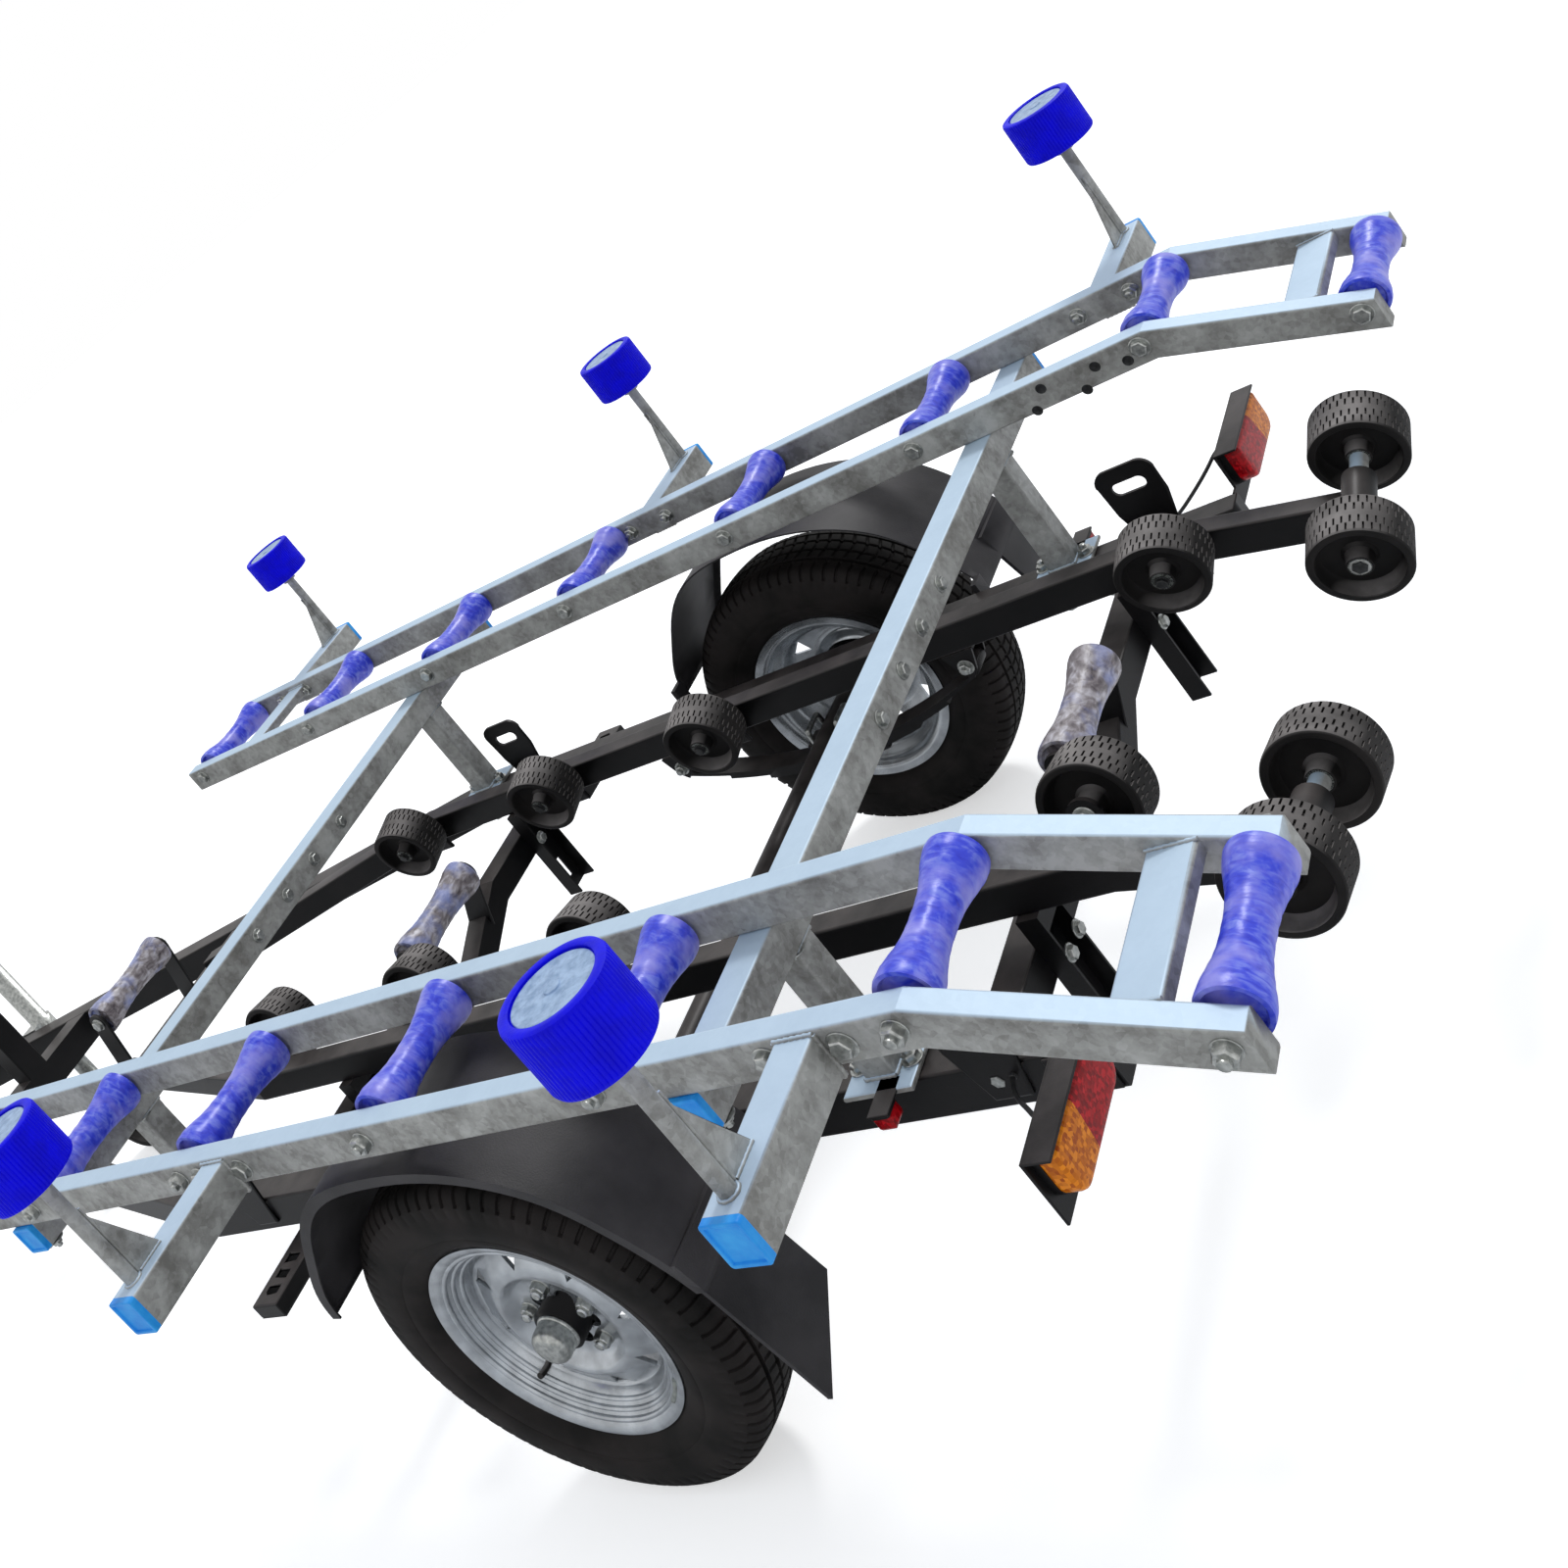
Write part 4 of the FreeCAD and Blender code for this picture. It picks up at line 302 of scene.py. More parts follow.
def turned(profile: Sequence[Floats], centre: Floats, axis: Floats, around: int = 48,
           relief: Optional[Callable[[np.ndarray, np.ndarray, np.ndarray], np.ndarray]] = None,
           angles: Optional[np.ndarray] = None, twist: Optional[np.ndarray] = None) -> np.ndarray:
    """Turned surface.

    The point of profile row u and angle v is the centre, plus the row's length along the axis, plus its
    radius times the direction at v. The relief moves it along the profile's normal, the twist turns each row.

    Args:
        profile: rows of (length along the axis, radius) in mm, over the top from the low end to the high end.
        centre: the profile's zero, in metres.
        axis: direction of the axis.
        around: number of even steps round the axis, where no angles are given.
        relief: offset in mm from grids of length, radius and angle.
        angles: angles of the columns, the last one a full turn from the first.
        twist: angle that each row is turned by.

    Returns:
        Grid of points in metres.
    """
    along, first, second = cross_axes(np.asarray(axis, float))
    profile = np.asarray(profile, float)
    angles = np.linspace(0.0, 2 * math.pi, around + 1) if angles is None else np.array(angles, float)
    shape = (len(profile), len(angles))
    lengths = np.broadcast_to(profile[:, :1], shape)
    radii = np.broadcast_to(profile[:, 1:], shape)
    if relief is not None:
        run = np.gradient(profile, axis=0)
        run /= np.maximum(np.linalg.norm(run, axis=1), 1e-9)[:, None]
        offset = relief(lengths, radii, np.broadcast_to(angles, shape))
        lengths = lengths - offset * run[:, 1:]
        radii = radii + offset * run[:, :1]
    turn = np.broadcast_to(angles, shape) + (0.0 if twist is None else np.asarray(twist)[:, None])
    spokes = np.cos(turn)[..., None] * first + np.sin(turn)[..., None] * second
    grid = np.asarray(centre, float) + MM * (lengths[..., None] * along + radii[..., None] * spokes)
    grid[:, -1] = grid[:, 0]
    return grid


def swept(path: Sequence[Floats], radius: float, around: int, ripple: float = 0.0) -> np.ndarray:
    """Round bar along a path, closed at both ends.

    The point of row u and angle v is the path's point, plus the radius times a direction square to the path.
    A first and a last row of zero radius close the ends. A ripple makes the radius come and go by rows.

    Args:
        path: points in metres.
        radius: the bar's radius in mm.
        around: number of steps round it.
        ripple: share of the radius that comes and goes.

    Returns:
        Grid of points in metres.
    """
    path = np.asarray(path, float)
    tangent = np.gradient(path, axis=0)
    tangent /= np.maximum(np.linalg.norm(tangent, axis=1), 1e-9)[:, None]
    plane = np.linalg.svd(path - path.mean(0))[2][2]
    side = np.cross(tangent, plane)
    side /= np.maximum(np.linalg.norm(side, axis=1), 1e-9)[:, None]
    other = np.cross(tangent, side)
    angle = np.linspace(0.0, 2 * math.pi, around + 1)
    angle[-1] = 0.0
    ring = np.cos(angle)[None, :, None] * side[:, None] + np.sin(angle)[None, :, None] * other[:, None]
    size = radius * MM * (1.0 + ripple * np.sin(np.arange(len(path)) * 2.1))
    body = path[:, None] + size[:, None, None] * ring
    ends = [np.repeat(path[i][None, None], around + 1, axis=1) for i in (0, -1)]
    return np.concatenate([ends[0], body, ends[1]])


def block(low: Floats, high: Floats, soft: float) -> np.ndarray:
    """Block with every edge chamfered: a stack of rectangles with cut corners, between two middle points.

    Args:
        low: one corner in metres.
        high: the opposite corner in metres.
        soft: width of the chamfer in mm.

    Returns:
        Grid of points in metres.
    """
    ends = np.array([low, high], float)
    centre = ends.mean(0)
    half = np.abs(ends[1] - ends[0]) / 2
    cut = min(soft * MM, 0.45 * half.min())
    keep, inset, side, lift = np.array([
        (0, 0, -1, 0), (1, 1, -1, 0), (1, 0, -1, 1), (1, 0, 1, -1), (1, 1, 1, 0), (0, 0, 1, 0)],
        float).T[:, :, None]
    sign_x, cut_x, sign_y, cut_y = np.array([
        (1, 0, -1, 1), (1, 0, 1, 1), (1, 1, 1, 0), (-1, 1, 1, 0), (-1, 0, 1, 1), (-1, 0, -1, 1),
        (-1, 1, -1, 0), (1, 1, -1, 0), (1, 0, -1, 1)], float).T[:, None, :]
    xs = keep * sign_x * (half[0] - cut * inset - cut * cut_x)
    ys = keep * sign_y * (half[1] - cut * inset - cut * cut_y)
    zs = np.broadcast_to(side * half[2] + lift * cut, xs.shape)
    return centre + np.stack([xs, ys, zs], axis=-1)


def knob(centre: Floats, axis: Floats, radius: float, height: float,
         form: Tuple[float, float, int]) -> np.ndarray:
    """Low turned form with a chamfered upper edge.

    Args:
        centre: middle of its foot, in metres.
        axis: direction that it stands along.
        radius: its radius in mm, over the corners where it has few sides.
        height: its height in mm.
        form: share of the height where the chamfer starts, share of the radius at the top, number of sides.

    Returns:
        Grid of points in metres.
    """
    start, top, sides = form
    profile = [(0.0, 0.0), (0.0, radius), (height * start, radius), (height, radius * top), (height, 0.0)]
    return turned(profile, centre, axis, sides)


hexagon = partial(knob, form=(0.82, 0.86, 6))
washer = partial(knob, form=(0.7, 0.95, 24))
stud_end = partial(knob, form=(0.85, 0.75, 14))


def straight(start: Floats, end: Floats, step_mm: float) -> np.ndarray:
    """Returns points from start to end in metres, about one step apart."""
    start, end = np.asarray(start, float), np.asarray(end, float)
    count = max(int(np.linalg.norm(end - start) / (step_mm * MM)), 3) + 1
    return start + np.linspace(0.0, 1.0, count)[:, None] * (end - start)


def circle(centre: Floats, radius: float, count: int) -> np.ndarray:
    """Returns points of a level circle of a radius in mm round a centre, a little past a full turn."""
    angle = np.linspace(0.0, 2 * math.pi * (1.0 + 1.0 / count), count + 2)
    ring = np.stack([np.cos(angle), np.sin(angle), 0 * angle], axis=-1)
    return np.asarray(centre, float) + radius * MM * ring


@dataclass(frozen=True)
class DustyBlack:
    """A black skin with a fine orange peel and a low sheen, and road dust that settles on upward faces."""

    name: str = "black_powder_coat"
    dark: str = "#08080a"
    worn: str = "#151314"
    dust: str = "#544e4c"
    roughness: float = 0.4
    gloss: float = 0.22

    def build(self) -> Material:
        """Builds the material: paint clouds 100 mm wide, dust in patches 60 mm wide, peel 2 mm apart."""
        skin = Skin(self.name)
        paint = skin.ramp(skin.noise(10.0, 6.0), (0.42, self.dark), (0.75, self.worn))
        patches = skin.span(skin.noise(17.0, 8.0), 0.3, 0.75, 0.25, 0.95)
        settled = skin.maths("MULTIPLY", patches, skin.facing_up(0.35, 1.0))
        colour = skin.blend(settled, paint, linear(self.dust))
        return skin.finished(colour, skin.noise(500.0, 2.0), 0.12, Roughness=self.roughness,
                             Specular_IOR_Level=self.gloss)


@dataclass(frozen=True)
class GalvanisedSteel:
    """Hot-dip galvanised steel: a pale, slightly cloudy zinc skin with a faint spangle about 8 mm across."""

    name: str = "galvanised_steel"
    spangle_mm: float = 8.0
    dark: str = "#7b7a76"
    pale: str = "#b8b9b6"
    painted_sky_reflection: str = "#c3daee"
    stain: str = "#7d7972"

    def build(self) -> Material:
        """Builds the material: faint spangle, clouds 70 mm wide, dull stains, and a painted sky reflection
        that tints upward faces bluer.
        """
        skin = Skin(self.name)
        cloud = skin.noise(14.0, 8.0, Roughness=0.68)
        zinc = skin.ramp(skin.mean(0.9, skin.cells(self.spangle_mm)[0], cloud), (0.34, self.dark),
                         (0.64, self.pale))
        stained = skin.span(skin.noise(5.0, 8.0, Roughness=0.7), 0.55, 0.8, 0.0, 0.6)
        marked = skin.blend(stained, zinc, linear(self.stain))
        # Painted reflection: faces that look up are tinted pale blue, as if they mirrored the sky.
        painted_reflection_share = skin.maths("MULTIPLY", skin.facing_up(0.5, 1.0), 0.85)
        colour = skin.blend(painted_reflection_share, marked, linear(self.painted_sky_reflection))
        rough = skin.span(cloud, 0.0, 1.0, 0.5, 0.64)
        return skin.finished(colour, cloud, 0.4, Roughness=rough, Metallic=0.35)


@dataclass(frozen=True)
class FilmedPolyurethane:
    """Moulded polyurethane under wound packing film, whose folds show as pale strokes and dull patches; the
    palest strokes are painted highlights, the glint of light on the folds.
    """

    name: str
    deep: str
    body: str
    painted_glint: str
    patch: str
    stroke_mm: Vec = (22.0, 8.0, 22.0)
    roughness: float = 0.34
    fold_mm: float = 0.7

    def build(self) -> Material:
        """Builds the material: strokes drawn out round the roller, folds 25 mm apart, patches 60 mm wide, the
        palest strokes a painted highlight.
        """
        skin = Skin(self.name)
        drawn = skin.add("Mapping", {"Vector": skin.place, "Rotation": (0.5, 0.2, 0.35),
                                     "Scale": [1.0 / (size * MM) for size in self.stroke_mm]})
        stroke = skin.noise(1.0, 3.0, Distortion=0.8, Vector=drawn.outputs[0])
        mixed = skin.mean(0.45, stroke, skin.noise(40.0, 5.0, Distortion=1.6))
        # The palest stop of this ramp is a painted highlight: pale glints along the film's folds.
        film = skin.ramp(mixed, (0.34, self.deep), (0.48, self.body), (0.66, self.painted_glint))
        spread = skin.span(skin.noise(20.0, 4.0), 0.46, 0.64, 0.0, 0.72)
        colour = skin.blend(spread, film, linear(self.patch))
        return skin.finished(colour, mixed, self.fold_mm, Roughness=self.roughness)


@dataclass(frozen=True)
class Plain:
    """A moulded, plated or painted surface with slight mottling and a fine grain."""

    name: str
    low: str
    high: str
    roughness: float
    metallic: float = 0.0
    mottle_mm: float = 25.0
    grain_mm: float = 3.0
    gloss: float = 0.5

    def build(self) -> Material:
        """Builds the material: mottling between two tones, and a grain a tenth as deep as it is wide."""
        skin = Skin(self.name)
        colour = skin.ramp(skin.noise(1.0 / (self.mottle_mm * MM), 5.0), (0.35, self.low), (0.65, self.high))
        return skin.finished(colour, skin.noise(1.0 / (self.grain_mm * MM), 3.0), self.grain_mm * 0.1,
                             Roughness=self.roughness, Metallic=self.metallic, Specular_IOR_Level=self.gloss)


@dataclass(frozen=True)
class WheelPaint:
    """Silver wheel lacquer on pressed steel, with the black hub that shows through the disc's middle."""

    axle_x: float
    name: str = "silver_wheel_lacquer"
    low: str = "#a0a4a8"
    high: str = "#bec3c8"
    hub: str = "#0b0b0d"
    hub_face_mm: float = 695.7
    hub_end_mm: float = 725.7
    flange_radius_mm: float = 75.0
    hub_radius_mm: float = 36.8
    axle_height_mm: float = 297.0

    def build(self) -> Material:
        """Builds the material: lacquer clouds, and black inboard of the disc near the axle and on the hub."""
        skin = Skin(self.name)
        x, y, z = skin.add("SeparateXYZ", {0: skin.place}).outputs
        reach = skin.maths("ABSOLUTE", y)
        level = skin.add("CombineXYZ", {0: x, 1: 0.0, 2: z}).outputs[0]
        middle = (self.axle_x, 0.0, self.axle_height_mm * MM)
        spoke = skin.add("VectorMath", {0: level, 1: middle}, operation="DISTANCE").outputs["Value"]
        parts = ((self.hub_face_mm, self.flange_radius_mm), (self.hub_end_mm, self.hub_radius_mm))
        flange, nose = [skin.maths("MULTIPLY", skin.maths("LESS_THAN", reach, face * MM),
                                   skin.maths("LESS_THAN", spoke, radius * MM)) for face, radius in parts]
        cloud = skin.noise(30.0, 6.0)
        paint = skin.ramp(cloud, (0.35, self.low), (0.65, self.high))
        colour = skin.blend(skin.maths("MAXIMUM", flange, nose), paint, linear(self.hub))
        return skin.finished(colour, cloud, 0.06, Roughness=0.27, Metallic=0.8)


@dataclass(frozen=True)
class LampAcrylic:
    """Moulded acrylic lens: clear red inboard and amber outboard, over prisms 5 mm apart."""

    name: str = "red_and_amber_acrylic"
    seam_mm: float = 676.0
    seam_height_mm: float = 460.0
    slant: float = 0.18
    prism_mm: float = 5.0
    red: Tuple[str, str, str] = ("#7c0009", "#a20611", "#c8141f")
    amber: Tuple[str, str, str] = ("#a84a04", "#d27208", "#f8931c")

    def build(self) -> Material:
        """Builds the material: each prism its own shade, and the amber side beyond a slanted seam."""
        skin = Skin(self.name)
        shade, distance = skin.cells(self.prism_mm, Randomness=0.45)
        sides = [skin.ramp(shade, *zip((0.0, 0.5, 1.0), tint)) for tint in (self.red, self.amber)]
        _, y, z = skin.add("SeparateXYZ", {0: skin.place}).outputs
        lean = skin.maths("MULTIPLY_ADD", z, self.slant, skin.maths("ABSOLUTE", y))
        seam = (self.seam_mm + self.slant * self.seam_height_mm) * MM
        colour = skin.blend(skin.maths("GREATER_THAN", lean, seam), *sides)
        return skin.finished(colour, distance, 0.35, Roughness=0.22, Specular_IOR_Level=0.2)


# Each finish is named for its real stuff. Paint and rubber are near black, with dust that greys what looks
# up. The filmed rollers are a streaked mid blue whose palest streaks are painted highlights, the guides a
# deep even blue, the caps a light blue.
FINISHES = {
    "black_paint": DustyBlack(),
    "galvanised": GalvanisedSteel(),
    "keel_rubber": FilmedPolyurethane("filmed_blue_polyurethane", "#1a28cc", "#3547e6", "#7f8df4", "#a09cf2"),
    "wobble_rubber": DustyBlack("dusty_moulded_rubber", "#151414", "#282524", "#a59f9c", 0.62, 0.16),
    "guide_blue": Plain("blue_polyurethane", "#0b03dc", "#0500f6", 0.5, gloss=0.14),
    "cap_blue": Plain("blue_polyethylene", "#1692f0", "#38b0fc", 0.45, grain_mm=4.0, gloss=0.3),
    "tyre": Plain("tyre_rubber", "#100f0e", "#262221", 0.66, mottle_mm=70.0, grain_mm=1.5, gloss=0.16),
    "zinc": Plain("bright_zinc_plate", "#8e918f", "#bcbebb", 0.3, 0.9, mottle_mm=7.0),
    "lamp_red": LampAcrylic(),
}
# The dulled film makes a greyish, milky roller, its palest streaks painted highlights. Nylon disc and bush
# are pale, the mudguard is a soft grey-black, the webbing a matt slate grey, and the sheath and dark steel
# give small dark accents; the dark steel also paints the shade in the empty bolt holes.
KEEL_FILM = FilmedPolyurethane("dulled_film_on_polyurethane", "#453c42", "#8b8386", "#d8d4dc", "#7f8fd0",
                               (14.0, 30.0, 14.0), 0.4)
PALE_NYLON = Plain("pale_blue_nylon", "#7f9cc0", "#a9c4e4", 0.4, mottle_mm=9.0, grain_mm=5.0)
BUSH_NYLON = Plain("grey_nylon_bush", "#7c807c", "#a4a8a2", 0.5, mottle_mm=5.0)
DARK_STEEL_AND_PAINTED_HOLE_SHADE = Plain("oiled_dark_steel", "#1c1d1e", "#343536", 0.4, 0.5, mottle_mm=6.0)
GUARD_PLASTIC = Plain("black_moulded_mudguard", "#282729", "#3b393b", 0.5, mottle_mm=90.0, grain_mm=2.5,
                      gloss=0.25)
WEBBING = Plain("grey_polyester_webbing", "#3c4650", "#55606b", 0.8, mottle_mm=3.0, grain_mm=1.6, gloss=0.2)
CABLE_SHEATH = Plain("black_cable_sheath", "#1a1a1b", "#2c2c2d", 0.5, mottle_mm=10.0)


@dataclass
class Yard:
    """The trailer's own places: the axle's station, and each joint's point and axis from the record."""

    frame: Dict[str, object]

    def __post_init__(self) -> None:
        """Finds the axle's station."""
        low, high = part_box("axle")
        self.axle_x = (low[0] + high[0]) / 2

    def at(self, x: float, y: float, z: float) -> np.ndarray:
        """Returns the point in metres of a place in mm from the axle's middle and the ground."""
        return np.array([x * MM + self.axle_x, y * MM, z * MM])

    def joint(self, body: str) -> Tuple[np.ndarray, np.ndarray]:
        """Returns the point and the axis of the joint that turns a body."""
        for joint in self.frame["record"]["behaviour"]["joints"]:
            if joint["child"] == body:
                return np.array(joint["pos_m"], float), np.array(joint["axis"], float)
        raise KeyError(body)


# Places in mm: x from the axle, y from the trailer's middle plane and z from the ground
SIDES = (("left", 1.0), ("right", -1.0))
RAIL_MIDDLE_Y = 520.0
RAIL_OUTER_Y = 545.0
RAIL_INNER_Y = 495.0
RAIL_TOP_Z = 440.0
CRADLE_INNER_FACE_Y = 517.5
CRADLE_OUTER_FACE_Y = 794.0
PORTAL_X = (-576.0, 806.0)
ARM_X = (-765.0, 235.0, 1390.0)
CROSS_X = (-705.0, 610.0)
# Beads on an arm as two (y, z) ends and a radius, and on the rungs as x and the height of the rung's top
GUSSET_BEADS = (((920.0, 743.0), (964.0, 743.0), 2.2), ((966.5, 745.0), (966.5, 860.0), 2.0))
RUNG_BEADS = ((-1085.0, 671.0), (1370.0, 737.0))
# A U-bolt's line as (offset from the rail's middle, z), its x and its radius
U_BOLT = ((-29.0, 222.0), (-29.0, 300.0), (-27.0, 327.0), (27.0, 327.0), (29.0, 300.0), (29.0, 222.0))
U_BOLT_X = (-32.0, 32.0)
U_BOLT_RADIUS = 5.0
UP, DOWN, BACK, OUT, INWARDS = (
    (0.0, 0.0, 1.0), (0.0, 0.0, -1.0), (-1.0, 0.0, 0.0), (0.0, 1.0, 0.0), (0.0, -1.0, 0.0))
# One side's bolts: stations, offsets from them, places across, height, direction on the left side, radius
# and height of the head, radius of the washer, and whether it is a nut with the bolt's end through it
BOLT_ROWS = (
    (PORTAL_X, (-38.0, 38.0), (RAIL_MIDDLE_Y,), RAIL_TOP_Z + 8.0, UP, 11.0, 9.0, 14.5, True),
    (PORTAL_X, (-38.0, 38.0), (RAIL_MIDDLE_Y,), 375.0, DOWN, 11.0, 8.0, 14.5, False),
    (PORTAL_X, (-25.0,), (48.0, 151.0), 672.0, BACK, 9.5, 6.5, 13.0, False),
    (PORTAL_X, (-15.0, 15.0), (535.0, 776.5), 647.0, DOWN, 8.5, 7.0, 14.5, True),
    (ARM_X, (-47.0, 47.0), (CRADLE_OUTER_FACE_Y,), 722.0, OUT, 13.0, 8.0, 17.0, False),
    (ARM_X, (-47.0, 47.0), (759.0,), 722.0, INWARDS, 12.0, 9.0, 14.5, True),
    ((0.0,), U_BOLT_X, (491.0, 549.0), 228.5, DOWN, 8.5, 7.0, 14.5, True),
    ((0.0,), (-325.0, 325.0), (549.0,), 345.0, OUT, 11.0, 7.0, 14.5, False),
    ((0.0,), (-325.0, 325.0), (491.0,), 345.0, INWARDS, 11.0, 9.0, 14.5, True),
    ((-812.0,), (0.0,), (549.2,), 424.0, OUT, 9.0, 6.0, 12.0, False),
    ((-812.0,), (0.0,), (549.2,), 391.0, OUT, 9.0, 6.0, 12.0, False),
    ((-721.0,), (0.0,), (RAIL_OUTER_Y,), 420.0, OUT, 9.0, 6.0, 12.0, False),
    (CROSS_X, (-55.0,), (310.0, 350.0), 408.0, BACK, 9.0, 6.0, 12.0, False),
)
# Length, radius at the ends, radius at the waist and bore
CRADLE_ROLLER = (195.5, 35.0, 24.0, 8.7)
KEEL_ROLLER = (205.0, 35.0, 26.0, 9.7)
CRADLE_PINS = 8
WOBBLE_PINS = 4
KEEL_PINS = 3
KEEL_PIN_HALF = 114.5


def stand_copy(frame: Dict[str, object], node: str, name: str, body: str, material: Material,
               corner_mm: float = 0.0) -> None:
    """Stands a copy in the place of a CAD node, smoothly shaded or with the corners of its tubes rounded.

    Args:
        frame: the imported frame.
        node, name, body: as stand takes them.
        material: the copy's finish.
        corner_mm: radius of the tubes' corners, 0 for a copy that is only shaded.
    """
    mesh = frame["nodes"][node].data.copy()
    mesh.name = name
    work = bmesh.new()
    work.from_mesh(mesh)
    bmesh.ops.remove_doubles(work, verts=work.verts, dist=MERGE_M)
    if corner_mm:
        bmesh.ops.dissolve_limit(work, angle_limit=math.radians(0.5), verts=work.verts, edges=work.edges)
        corners = [edge for edge in work.edges if len(edge.link_faces) == 2
                   and edge.calc_face_angle_signed(0.0) > math.radians(50.0)
                   and edge.calc_length() > 6 * corner_mm * MM]
        bmesh.ops.bevel(work, geom=corners, offset=corner_mm * MM, offset_type="OFFSET", segments=2,
                        profile=0.5, affect="EDGES", clamp_overlap=False)
    work.to_mesh(mesh)
    work.free()
    mesh.materials.clear()
    mesh.materials.append(material)
    if not corner_mm:
        mesh.shade_smooth()
        mesh.set_sharp_from_angle(angle=math.radians(30.0))
    stand(name, mesh, body, node)


@dataclass
class RoadTyre:
    """Road tyre: crowned tread with four grooves, cut ribs and shoulders, fingers and a ringed side wall."""

    wall: Pairs = (
        (-57.0, 165.0), (-61.5, 174.0), (-62.0, 183.0), (-66.0, 186.0), (-71.5, 193.0), (-77.0, 204.0),
        (-80.0, 214.0), (-80.3, 215.5), (-81.0, 217.5), (-82.0, 230.0), (-82.3, 237.5), (-81.4, 247.0),
        (-80.0, 254.5), (-79.6, 256.0), (-77.5, 266.0), (-76.6, 270.0), (-75.2, 273.0), (-72.0, 279.0),
        (-68.0, 284.0), (-63.5, 288.0), (-58.0, 290.8))
    crown: Pairs = ((-58.0, 290.8), (-40.0, 294.4), (-20.0, 296.4), (0.0, 297.0))
    grooves: Tuple[float, ...] = (-40.0, -14.0, 14.0, 40.0)
    groove_half: float = 2.8
    groove_depth: float = 6.0
    cut_depth: float = 3.2
    lug_depth: float = 3.6
    tread_edge: float = 272.0
    finger_foot: float = 255.5
    ring_low: float = 214.5
    ring_high: float = 217.0
    lean: float = 0.5
    pitches: int = 80
    stations: Tuple[float, ...] = (0.0, 0.35, 0.42, 0.58, 0.65)

    def profile(self) -> np.ndarray:
        """Section from one bead over the tread to the other, with rows at each groove's edges and floor."""
        spots = [-56.0, -51.0, -47.0]
        for groove in self.grooves[:2]:
            spots += [groove + self.groove_half * share for share in (-1.25, -0.75, 0.75, 1.25)]
        spots = np.sort(np.array(spots + [-31.0, -26.0, -21.0, -7.0, -2.5]))
        rise = np.interp(spots, *np.array(self.crown).T)
        return mirrored(np.concatenate([np.array(self.wall), np.stack([spots, rise], axis=-1)]))

    def relief(self, along: np.ndarray, radius: np.ndarray, angle: np.ndarray) -> np.ndarray:
        """Depth of the tread: ring grooves, a cut per pitch in ribs and shoulders, and the wall's fingers."""
        reach = np.abs(along)
        groove = np.zeros_like(along)
        for place in self.grooves:
            groove = np.maximum(groove, (np.abs(along - place) < self.groove_half))
        wave = (angle * self.pitches / (2 * math.pi)) % 1.0
        inside = (np.abs(wave - 0.5) < 0.1)
        shoulder = (reach > 43.5) & (radius > self.tread_edge)
        ribs = (reach < 36.5) & (radius > self.tread_edge)
        cuts = inside * (self.cut_depth * ribs + self.lug_depth * shoulder)
        fingers = (radius > self.finger_foot) & (radius <= self.tread_edge) & (reach > 60.0)
        rings = 0.7 * ((reach > 79.9) & (radius > self.ring_low) & (radius < self.ring_high))
        return -np.maximum(self.groove_depth * groove, cuts) + 0.5 * fingers * (~inside) - rings

    def build(self, yard: Yard, side: str, material: Material) -> None:
        """Builds one tyre."""
        body = "road_wheel_" + side
        centre, axis = yard.joint(body)
        profile = self.profile()
        rows_on_top = profile[:, 1] > 240.0
        twist = np.where(rows_on_top, np.clip(np.abs(profile[:, 0]) / 50.0, 0.0, 1.2), 1.2)
        surface = Surface()
        surface.grid(turned(profile, centre, axis, relief=self.relief,
                            angles=pitch_angles(self.pitches, self.stations),
                            twist=twist * self.lean * 2 * math.pi / self.pitches))
        surface.piece("tread_tyre_" + side, [material], body, "tyre", 38.0, "tyre_" + side)


